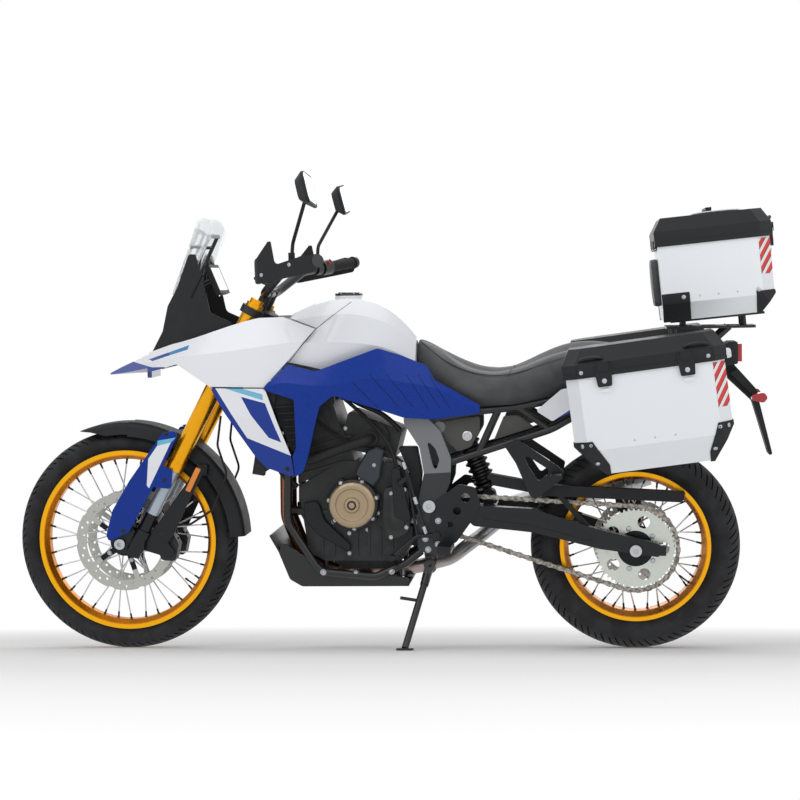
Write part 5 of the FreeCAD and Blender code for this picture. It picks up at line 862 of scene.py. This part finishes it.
class MOTORCYCLE_OT_seat(bpy.types.Operator):
    """Upholsters the seat and the top case's backrest, with their sewn seams"""
    bl_idname = "motorcycle.seat"
    bl_label = "Seat and backrest"

    def execute(self, context):
        sizes = context.scene.motorcycle_sizes
        seat = puffed(NODES["seat"], "seat_cover", 0.006, sizes.seat_swell, 1.2)
        smooth(seat, 60)
        seat.data.materials.clear()
        seat.data.materials.append(FINISHES["grained_vinyl"])
        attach(seat, "chassis")
        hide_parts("seat")
        pad = puffed(NODES["backrest_pad"], "backrest_cover", 0.004, 0.004, 1.0)
        smooth(pad, 60)
        pad.data.materials.clear()
        pad.data.materials.append(FINISHES["grained_vinyl"])
        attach(pad, "chassis")
        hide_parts("backrest_pad")
        lines = []
        for side in (-1, 1):
            lines.append([(940, side * 38, 962), (1000, side * 84, 908), (1100, side * 124, 862),
                          (1210, side * 138, 852), (1340, side * 130, 894), (1500, side * 114, 924),
                          (1625, side * 94, 930)])
        lines.append([(1216, -140, 850), (1226, -70, 868), (1230, 0, 871), (1226, 70, 868),
                      (1216, 140, 850)])
        for number, line in enumerate(lines):
            seam = piped("seat_seam_%d" % (number + 1), line, sizes.stitch / MM)
            seam.data.transform(LEANED)
            applied(seam, "SHRINKWRAP", target=seat, wrap_method="NEAREST_SURFACEPOINT",
                    wrap_mode="OUTSIDE", offset=0.0006)
            set_in(seam, "seam_thread", "chassis", 60, False)
        return {"FINISHED"}


def landed(node, point, direction):
    """Where a ray from a point meets a node and the way out of its surface, upright, in mm."""
    start = LEANED @ (Vector(point) * MM)
    hit, place, normal, face = NODES[node].ray_cast(start, (LEANED.to_3x3() @ Vector(direction)))
    if not hit:
        raise ValueError("no %s from %s" % (node, point))
    back = LEANED.inverted()
    return (back @ place) / MM, (back.to_3x3() @ normal).normalized()


def beside(node, spots, side=-1):
    """Rays for landed from one side of the motorcycle to (x, z) spots on a node, in mm."""
    clear = 500
    return [(node, (x, side * clear, z), (0, -side, 0)) for x, z in spots]


def circled(centre, radius, angles):
    """(x, z) points in mm on a circle about a centre."""
    return [(centre[0] + radius * math.cos(a), centre[1] + radius * math.sin(a)) for a in angles]


def button_head(name, radius):
    """A button-head bolt with its flange and the round of its socket, standing on Z 0."""
    r = radius
    bolt = turned(name, [(r * 1.25, -0.4), (r * 1.25, 0.8), (r, 1.0), (r, r * 0.35),
                         (r * 0.78, r * 0.62), (r * 0.46, r * 0.66), (r * 0.44, r * 0.2)], 18)
    smooth(bolt, 40)
    return bolt


def bolted(name, radius, spots, finish, body, slot, mirror=True):
    """Bolt heads seated where rays from (node, point, direction) meet the nodes."""
    places = [landed(*spot) for spot in spots]
    if mirror:
        places += [(Vector((p.x, -p.y, p.z)), Vector((n.x, -n.y, n.z))) for p, n in places]
    heads = spread(name, button_head(name + "_one", radius), places)
    return set_in(heads, finish, body)


def eased(corners, radius, steps=4):
    """A flat outline with each corner rounded by one radius."""
    outline = []
    for index, corner in enumerate(corners):
        here = Vector(corner)
        before = (Vector(corners[index - 1]) - here)
        after = (Vector(corners[(index + 1) % len(corners)]) - here)
        reach = min(radius, before.length * 0.45, after.length * 0.45)
        a, b = here + before.normalized() * reach, here + after.normalized() * reach
        for step in range(steps + 1):
            t = step / steps
            outline.append(tuple(a * (1 - t) ** 2 + here * 2 * t * (1 - t) + b * t ** 2))
    return outline


BAR_END = Vector((676.91, 430, 1208.62))
BAR_IN = Vector((-0.5064, -0.8566, -0.099))


class MOTORCYCLE_OT_controls(bpy.types.Operator):
    """Models the ribbed grips, the switches, the mirrors' glass and the instrument's screen"""
    bl_idname = "motorcycle.controls"
    bl_label = "Controls"

    def execute(self, context):
        rib = context.scene.motorcycle_sizes.grip_rib / MM
        rings = [(21, 0), (21, 3), (17, 4)]
        for step in range(24):
            height = 6 + step * 4.6
            rings += [(17 + rib, height), (17 + rib, height + 2.4), (17, height + 2.9)]
        rings += [(17, 118), (19.5, 119), (19.5, 123)]
        grips = spread("grips", turned("grip_one", rings, 28), [
            (BAR_END, BAR_IN), (Vector((BAR_END.x, -BAR_END.y, BAR_END.z)),
                                Vector((BAR_IN.x, -BAR_IN.y, BAR_IN.z)))])
        set_in(grips, "nitrile_rubber", "front_end", 50)
        housing = BAR_END + BAR_IN * 149
        back = Vector((0.62, -0.3, 0.73)).normalized()
        stop = turned("stop_switch", [(9, 22), (9, 27), (7.5, 28.5), (5, 28.5)], 20)
        stop = spread("stop_switch", stop, [(housing, back)])
        set_in(stop, "red_acrylic_lens", "front_end", 40)
        near = Vector((housing.x, -housing.y, housing.z))
        ways = [Vector((0.7, 0.3, 0.65)), Vector((0.9, 0.45, 0.2)), Vector((0.35, 0.1, 0.92))]
        keys = turned("switch_keys", [(6.5, 22), (6.5, 26.5), (5, 27.5), (2, 27.5)], 18)
        keys = spread("switch_keys", keys, [(near, way) for way in ways])
        set_in(keys, "nitrile_rubber", "front_end", 40)
        outline = eased([(62, -40), (-74, -52), (-90, 30), (70, 44)], 22)
        glass = slab("mirror_glass", outline, 34.1, 35.3, 0.4, 1)
        turn = (Matrix.Translation(Vector((BAR_END.x - 52, 388, BAR_END.z + 206)) * MM)
                @ Matrix.Rotation(math.radians(-12), 4, "Y")
                @ Matrix.Rotation(math.radians(10), 4, "X")
                @ Matrix.Rotation(math.radians(-90), 4, "Z"))
        glass.data.transform(turn)
        both_sides(glass)
        set_in(glass, "mirror_silver", "front_end", 30)
        outline = eased([(-66, 10), (66, 10), (66, 86), (-66, 86)], 5)
        screen = slab("display_screen", outline, 7.2, 7.9, 0.2, 1)
        screen.data.transform(Matrix.Translation(Vector((320, 0, 1116)) * MM)
                              @ Matrix.Rotation(math.radians(-22), 4, "Y")
                              @ Matrix.Rotation(math.radians(-90), 4, "Z"))
        set_in(screen, "display_glass", "chassis", 30)
        return {"FINISHED"}


class MOTORCYCLE_OT_fasteners(bpy.types.Operator):
    """Seats bolt and screw heads on the bodywork, the frame, the engine and the discs"""
    bl_idname = "motorcycle.fasteners"
    bl_label = "Bolts and screws"

    def execute(self, context):
        zinc = ("zinc_plated_steel", "chassis", "axle_steel")
        black = ("powder_coated_steel", "chassis", "black_steel")
        bolted("panel_screws", 5.5, beside("wing_panels", [(546, 586)])
               + beside("tail_panels", [(1400, 786), (1610, 834), (1800, 880)]), *black)
        bolted("guard_screws", 5.5, beside("fork_guards", [(15, 391.5), (150, 548), (158, 690)])
               + beside("front_fender", [(130, 378), (256, 576)]),
               black[0], "front_end", black[2])
        bolted("handguard_screws", 4.5, beside("handguards", [(512, 1172), (600, 1200)]),
               zinc[0], "front_end", zinc[2])
        bolted("frame_bolts", 7.5, beside("footrests", [(994, 416), (992, 344)])
               + beside("belly_guard", [(640, 262), (740, 262), (850, 262)])
               + beside("main_frame", [(961, 327), (953, 360)]), *zinc)
        generator = circled((734, 469), 76, [2 * math.pi * (i + 0.3) / 7 for i in range(7)])
        bolted("cover_bolts", 5.0, beside("engine_covers", generator)
               + beside("engine_covers", [(852, 500), (892, 512), (896, 396), (848, 366)])
               + beside("engine_block", [(806, 437), (773, 386), (716, 375), (667, 410),
                                         (586, 445), (708, 697), (715, 313)]), *zinc, False)
        clutch = circled((800, 440), 88, (0.3, 1.1, 1.9, 2.7, 4.2, 5.2))
        bolted("clutch_bolts", 5.0, beside("engine_covers", clutch, 1), *zinc, False)
        arms = circled(FRONT_AXLE, 62, [-2 * math.pi * i / 5 for i in range(5)])
        bolted("front_disc_bolts", 5.5, beside("front_discs", arms), zinc[0], "front_wheel",
               zinc[2])
        hub = circled(REAR_AXLE, 64, [2 * math.pi * (i + 0.5) / 5 for i in range(5)])
        bolted("sprocket_nuts", 7.5, beside("rear_sprocket", hub), zinc[0], "rear_wheel",
               zinc[2], False)
        return {"FINISHED"}


class MOTORCYCLE_OT_spokes(bpy.types.Operator):
    """Sets a nipple on every spoke at the rim and a valve stem in each wheel"""
    bl_idname = "motorcycle.spokes"
    bl_label = "Spoke nipples"

    def execute(self, context):
        for name, body, axle, well, root, hub in (
                ("front_nipples", "front_wheel", FRONT_AXLE, 254.7, 33, 61.7),
                ("rear_nipples", "rear_wheel", REAR_AXLE, 203.9, 50, 76)):
            places = []
            for i in range(36):
                side = 1 if i % 2 else -1
                lean_way = 1 if (i // 2) % 2 else -1
                at_rim = 2 * math.pi * i / 36
                at_hub = at_rim + lean_way * math.radians(62)
                a = Vector((root * math.sin(at_hub), side * (hub - 11), root * math.cos(at_hub)))
                b = Vector(((well + 3) * math.sin(at_rim), side * 4, (well + 3) * math.cos(at_rim)))
                way = (a - b).normalized()
                places.append((b + Vector((axle[0], 0, axle[1])) + way * 3, way))
            one = turned(name + "_one", [(3.9, 0), (3.9, 3), (3.2, 4), (3.2, 15), (2.5, 17)], 8)
            nipples = spread(name, one, places)
            set_in(nipples, "black_anodised_aluminium", body, 40)
            stem = turned(name + "_valve", [(4, -6), (4, 2), (2.6, 4), (2.6, 24), (3.4, 24),
                                            (3.4, 34), (2.6, 36)], 12)
            angle = 2.2
            point = Vector((axle[0] + (well - 2) * math.sin(angle), 0,
                            axle[1] + (well - 2) * math.cos(angle)))
            way = Vector((-math.sin(angle), 0, -math.cos(angle)))
            stem = spread(name.replace("nipples", "valve"), stem, [(point, way)])
            set_in(stem, "nitrile_rubber", body, 40)
        return {"FINISHED"}


PANNIER = (Matrix.Translation(Vector((1391, -255, 855)) * MM)
           @ Matrix.Rotation(math.radians(-7), 4, "Y")
           @ Matrix.Translation(Vector((0, 0, -284)) * MM)
           @ Matrix.Scale(-1, 4, (0, 1, 0)))
TOP_CASE = (Matrix.Translation(Vector((1682, 0, 1010)) * MM)
            @ Matrix.Rotation(math.radians(-5), 4, "Y")
            @ Matrix.Rotation(math.radians(-90), 4, "Z")
            @ Matrix.Translation(Vector((-202, 0, 0)) * MM))


def film(name, place, low, high, foot, width, target, finish, body, mirror):
    """A strip of film on a case's bevelled edge: from foot along width, between two heights."""
    unselected()
    bpy.ops.mesh.primitive_grid_add(x_subdivisions=6, y_subdivisions=12, size=1)
    obj = named(name)
    for vertex in obj.data.vertices:
        u, v = vertex.co.x + 0.5, vertex.co.y + 0.5
        vertex.co = Vector((foot[0] + width[0] * u, foot[1] + width[1] * u,
                            low + (high - low) * v)) * MM
    across = math.hypot(*width) * MM
    for loop in obj.data.uv_layers["UVMap"].data:
        loop.uv = (loop.uv[0] * across, loop.uv[1] * (high - low) * MM)
    obj.data.transform(LEANED @ place)
    applied(obj, "SHRINKWRAP", target=NODES[target], wrap_method="NEAREST_SURFACEPOINT",
            wrap_mode="ABOVE_SURFACE", offset=0.0005)
    if mirror:
        obj.data.transform(LEANED.inverted())
        obj.data.transform(Matrix.Scale(-1, 4, (0, 1, 0)))
        obj.data.transform(LEANED)
    return set_in(obj, finish, body, lean=False)


def placed_piece(obj, place, mirror):
    """Puts a piece modelled in a case's own axes on its case, on the right if mirrored."""
    obj.data.transform(place)
    if mirror:
        obj.data.transform(Matrix.Scale(-1, 4, (0, 1, 0)))
    righted(obj)
    smooth(obj, 35)
    return obj


class MOTORCYCLE_OT_cases(bpy.types.Operator):
    """Adds locks, lid handles, bolts, rivets, rails and hazard film to the three cases"""
    bl_idname = "motorcycle.cases"
    bl_label = "Case fittings"

    def execute(self, context):
        for side, place, mirror, lid in (("left", PANNIER, False, "left_pannier_lid"),
                                         ("right", PANNIER, True, "right_pannier_lid"),
                                         ("top", TOP_CASE, False, "top_case_lid")):
            top = side == "top"
            length, depth, seat = (404, 330, 222) if top else (451, 222, 284)
            case = "left_case" if mirror else side + "_case"
            face = depth + 8
            lock = turned("lock_one", [(7, 0), (7, 2.6), (5.6, 3.4), (4.4, 3.4), (4.4, 2.4)], 20)
            locks = spread(side + "_locks", lock, [((x, face + 5, seat - 14), (0, 1, 0))
                                                    for x in (length * 0.24, length * 0.76)])
            bright(placed_piece(locks, place, mirror), lid)
            handles = []
            for x in (34, length - 118):
                handles.append(slab("corner_block", eased([(x, seat + 4), (x + 84, seat + 4),
                                                           (x + 84, seat + 30), (x + 72, seat + 39),
                                                           (x + 12, seat + 39), (x, seat + 30)], 4),
                                    face - 1, face + 3, 1.2, 2))
                handles.append(piped("handle", [
                    (x + 8, face - 8, seat + 46), (x + 12, face + 1, seat + 56),
                    (x + 72, face + 1, seat + 56), (x + 76, face - 8, seat + 46)], 5, 3, 10))
            block = placed_piece(joined(side + "_lid_handles", handles), place, mirror)
            set_in(block, "black_lid_moulding", lid)
            head = button_head("lid_bolt_one", 4.6)
            spots = [((x, face + 3, seat + 17), (0, 1, 0))
                     for x in (46, 106, length - 106, length - 46)]
            heads = placed_piece(spread(side + "_lid_bolts", head, spots), place, mirror)
            bright(heads, lid)
            rivet = turned("rivet_one", [(3.2, -0.6), (3.2, 0.3), (2.6, 1.2), (1.4, 1.7)], 12)
            if top:
                rows = [((x, y, 68), (way, 0, 0)) for x, way in ((length, 1), (0, -1))
                        for y in (110, 165, 220)]
            else:
                rows = [((x, depth, 92), (0, 1, 0)) for x in (170, 228, 286)]
            rivets = placed_piece(spread(side + "_rivets", rivet, rows), place, mirror)
            bright(rivets, "chassis")
            slope = Vector((0, 0.785, -0.62))
            low = Vector((0, 195, 36))
            if not top:
                head = button_head("guard_bolt_one", 5.0)
                spots = [((22, 212, 92), (-0.7, 0.7, 0)), ((46, 224.2, 92), (0, 1, 0)),
                         ((412, 224.2, 98), (0, 1, 0)), ((438, 205, 98), (0.7, 0.7, 0)),
                         (low + Vector((58, 0, 0)), slope), (low + Vector((393, 0, 0)), slope)]
                heads = placed_piece(spread(side + "_guard_bolts", head, spots), place, mirror)
                bright(heads, "chassis")
            corners = [((length, depth - 36), (-36, 36))]
            if top:
                corners = [((length - 36, depth), (36, -36)), ((36, depth), (-36, -36))]
            for number, (foot, width) in enumerate(corners):
                film("%s_case_film_%d" % (side, number + 1), place, 112 if top else 152, seat - 4,
                     foot, width, case, "hazard_film", "chassis", mirror)
        guards = []
        rails = []
        heads = []
        for away in (lambda x: x, lambda x: 404 - x):
            outline = [(away(x), z) for x, z in ((407.3, 82), (407.3, 50.8), (361.5, -3.3),
                                                 (359.1, -1.5), (404.3, 51.9), (404.3, 82))]
            guards.append(slab("top_guard", outline, -2, 80, 0.8, 1))
            rails.append(piped("rail", [(away(396), 96, 262), (away(380), 100, 300),
                                        (away(368), 112, 310), (away(368), 248, 310),
                                        (away(380), 260, 300), (away(396), 264, 262)], 3.4, 3, 8))
            way = (1 if away(1) == 1 else -1, 0, 0)
            heads.append(((away(407.3), 62, 68), way))
            heads.append(((away(407.3), 282, 68), way))
        guard = placed_piece(joined("top_case_front_guards", guards), TOP_CASE, False)
        set_in(guard, "grained_polypropylene", "chassis")
        rail = placed_piece(joined("top_lid_rails", rails), TOP_CASE, False)
        bright(rail, "top_case_lid")
        heads = spread("top_guard_bolts", button_head("top_guard_bolt_one", 5.0), heads)
        bright(placed_piece(heads, TOP_CASE, False), "chassis")
        return {"FINISHED"}


class MOTORCYCLE_OT_lamps(bpy.types.Operator):
    """Adds the fork reflectors and the lenses and bezels of the headlamps"""
    bl_idname = "motorcycle.lamps"
    bl_label = "Lamps and reflectors"

    def execute(self, context):
        outline = eased([(243, 584), (258, 577), (222, 505), (207, 512)], 4)
        reflector = both_sides(slab("fork_reflectors", outline, -115.2, -110.1, 1.2, 2))
        set_in(reflector, "amber_acrylic_lens", "front_end", 35)
        lenses = []
        for point, radius in (((-300, -16, 1046), 12), ((-300, 16, 1046), 12),
                              ((-300, -16, 978), 13), ((-300, 16, 978), 13)):
            place, way = landed("headlamps", point, (1, 0, 0))
            ring = turned("lens_one", [(radius + 2, -2), (radius + 2, 1.6), (radius, 2.2),
                                       (radius * 0.94, 0.8), (radius * 0.6, 3.0),
                                       (radius * 0.2, 3.6)], 28)
            lenses.append(spread("lens", ring, [(place, way)]))
        lens = joined("headlamp_lenses", lenses)
        set_in(lens, "mirror_silver", "chassis", 35)
        cap = turned("tank_cap_screws_one", [(3.2, -0.5), (3.2, 1.2), (2.4, 2.0), (1.2, 1.2)], 14)
        screws = spread("tank_cap_screws", cap, [
            ((716 + 39 * math.cos(a), 39 * math.sin(a), 1110), (0.02, 0, 1))
            for a in [2 * math.pi * i / 6 for i in range(6)]])
        bright(screws, "chassis")
        return {"FINISHED"}


class MOTORCYCLE_OT_engine(bpy.types.Operator):
    """Dresses the engine: caps, covers, gear rod, hoses, clips and the ducts' grilles"""
    bl_idname = "motorcycle.engine"
    bl_label = "Engine dressing"

    def execute(self, context):
        cap = turned("generator_cap", [(70.4, 44.4), (70.4, 55), (64, 60.4), (58.4, 61.6),
                                       (50.4, 61.6), (48, 57.6), (24.6, 57.6), (22.4, 64.0),
                                       (20, 65.6)], 48)
        applied(cap, "BEVEL", width=0.0012, segments=2, limit_method="ANGLE",
                angle_limit=math.radians(30))
        plug = turned("generator_plug", [(17, 57), (17, 63.5), (14, 66), (9, 66), (8, 63),
                                         (2, 63)], 32)
        for piece in (cap, plug):
            piece.data.transform(Matrix.Translation(Vector((734, -117.3, 469)) * MM)
                                 @ Matrix.Rotation(math.radians(90), 4, "X"))
        smooth(cap, 30)
        set_in(plug, "cast_satin_black", "chassis", 30)
        cover = slab("starter_gear_cover", eased([(781, 634), (807, 644), (831, 634), (818, 548),
                                                  (796, 520), (741, 558), (746, 576)], 5),
                     -146, -96, 9, 1)
        set_in(cover, "slate_cover_coat", "chassis", 20)
        bolts = spread("starter_cover_bolts", button_head("starter_bolt_one", 4.6), [
            ((x, y, z), (0, -1, 0)) for x, y, z in ((801, -146, 588), (757, -140, 546),
                                                    (782, -140, 536), (806, -137, 634))])
        bright(bolts, "chassis")
        cover = joined("engine_side_covers", [
            slab("sprocket_strip", eased([(853, 573), (877, 582), (912, 425), (895, 413),
                                          (861, 430)], 5), -152, -118, 5, 1),
            slab("lower_front_cover", eased([(578, 471), (617, 478), (629, 462), (642, 419),
                                             (722, 341), (717, 319), (623, 372), (581, 419)], 7),
                 -128, -100, 6, 1),
            slab("rear_cover", eased([(872, 640), (930, 640), (944, 560), (930, 430), (905, 430),
                                      (905, 560)], 8), -112, -70, 5, 1)])
        set_in(cover, "grained_polypropylene", "chassis", 20)
        panel = joined("under_seat_covers", [
            slab("front_cover", eased([(981, 722), (1124, 732), (1124, 688), (1095, 637),
                                       (1057, 624), (1019, 659)], 8), -118, -112, 2, 2),
            slab("rear_cover", eased([(1166, 659), (1197, 732), (1241, 733), (1290, 696)], 6),
                 -113, -109, 1.5, 2)])
        both_sides(panel)
        set_in(panel, "warm_grey_moulding", "chassis", 30)
        knob = turned("cover_fixing_one", [(15, -0.5), (15, 2.5), (12, 4), (9, 4), (8, 1.5)], 28)
        knobs = both_sides(spread("under_seat_fixings", knob, [((1085, -118, 672), (0, -1, 0))]))
        bright(knobs, "chassis", 30)
        rod = piped("gear_rod", [(892, -158, 596), (924, -160, 489), (956, -160, 383)], 4, 2, 12)
        set_in(rod, "powder_coated_steel", "chassis", 60)
        rod_top = Vector((892, -158, 596))
        down = Vector((64, -2, -213)).normalized()
        sleeve = turned("rod_joint_one", [(6.5, -10), (6.5, 10), (4.5, 13)], 16)
        sleeves = spread("gear_rod_joints", sleeve, [(rod_top + down * reach, down)
                                                     for reach in (8, 120, 214)])
        bright(sleeves, "chassis", 40)
        boot = turned("rod_boot_one", [(6, -28), (8, -20), (6.5, -12), (8, -4), (6.5, 4),
                                       (8, 12), (6, 24)], 16)
        boots = spread("gear_rod_boot", boot, [(rod_top + down * 62, down)])
        set_in(boots, "nitrile_rubber", "chassis", 50)
        set_in(cap, "bronze_cover_paint", "chassis")
        hoses = [
            ("water_hose", [(560, -96, 760), (520, -128, 700), (500, -134, 640), (508, -126, 560),
                            (560, -128, 520)], 11),
            ("breather_hose", [(700, -70, 800), (760, -118, 770), (840, -124, 740),
                               (880, -112, 690)], 8),
            ("clutch_hose", [(912, -128, 560), (880, -132, 620), (760, -134, 640), (640, -130, 700),
                             (560, -112, 800)], 4),
            ("loom", [(905, -126, 420), (872, -140, 600), (820, -132, 700), (700, -124, 800)], 6)]
        for name, points, radius in hoses:
            hose = piped(name, points, radius, 3, 16)
            set_in(hose, "nitrile_rubber", "chassis", 60)
        clip = turned("hose_clips_one", [(12.6, -4), (12.6, 4), (11, 4)], 24)
        clips = spread("hose_clips", clip, [((515, -131, 690), (-0.3, -0.1, -1)),
                                            ((508, -129, 590), (0.1, 0.05, -1))])
        bright(clips, "chassis", 30)
        slats = []
        for step in range(7):
            z = 650 + step * 20
            x0 = 566 - step * 9
            slats.append(slab("slat", [(x0 - 4, z), (582, z + 3), (583, z + 8), (x0 - 4, z + 5)],
                              -206, -190, 1, 1))
        back = slab("duct_back", [(556, 632), (576, 650), (588, 800), (566, 806), (490, 828),
                                  (484, 820)], -192, -188, 1, 1)
        grille = joined("duct_grilles", slats + [back])
        both_sides(grille)
        set_in(grille, "grained_polypropylene", "chassis", 35)
        return {"FINISHED"}


STEPS = ("stage", "paint", "tyres", "seat", "controls", "fasteners", "spokes", "cases", "lamps",
         "engine")


class MOTORCYCLE_PT_panel(bpy.types.Panel):
    """Buttons and sizes of the motorcycle in the 3D view's sidebar"""
    bl_idname = "MOTORCYCLE_PT_panel"
    bl_label = "Motorcycle"
    bl_space_type = "VIEW_3D"
    bl_region_type = "UI"
    bl_category = "Motorcycle"

    def draw(self, context):
        for group in (context.scene.motorcycle_sizes, context.scene.motorcycle_colours):
            for name in group.__annotations__:
                self.layout.prop(group, name)
        for step in STEPS:
            self.layout.operator("motorcycle." + step)


CLASSES = (MotorcycleSizes, MotorcycleColours, MOTORCYCLE_OT_stage, MOTORCYCLE_OT_paint,
           MOTORCYCLE_OT_tyres, MOTORCYCLE_OT_seat, MOTORCYCLE_OT_controls,
           MOTORCYCLE_OT_fasteners, MOTORCYCLE_OT_spokes, MOTORCYCLE_OT_cases,
           MOTORCYCLE_OT_lamps, MOTORCYCLE_OT_engine, MOTORCYCLE_PT_panel)


def register():
    for cls in CLASSES:
        bpy.utils.register_class(cls)
    bpy.types.Scene.motorcycle_sizes = PointerProperty(type=MotorcycleSizes)
    bpy.types.Scene.motorcycle_colours = PointerProperty(type=MotorcycleColours)


def unregister():
    del bpy.types.Scene.motorcycle_colours
    del bpy.types.Scene.motorcycle_sizes
    for cls in reversed(CLASSES):
        bpy.utils.unregister_class(cls)


def main():
    register()
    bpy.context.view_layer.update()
    for step in STEPS:
        getattr(bpy.ops.motorcycle, step)()


if __name__ == "__main__":
    main()
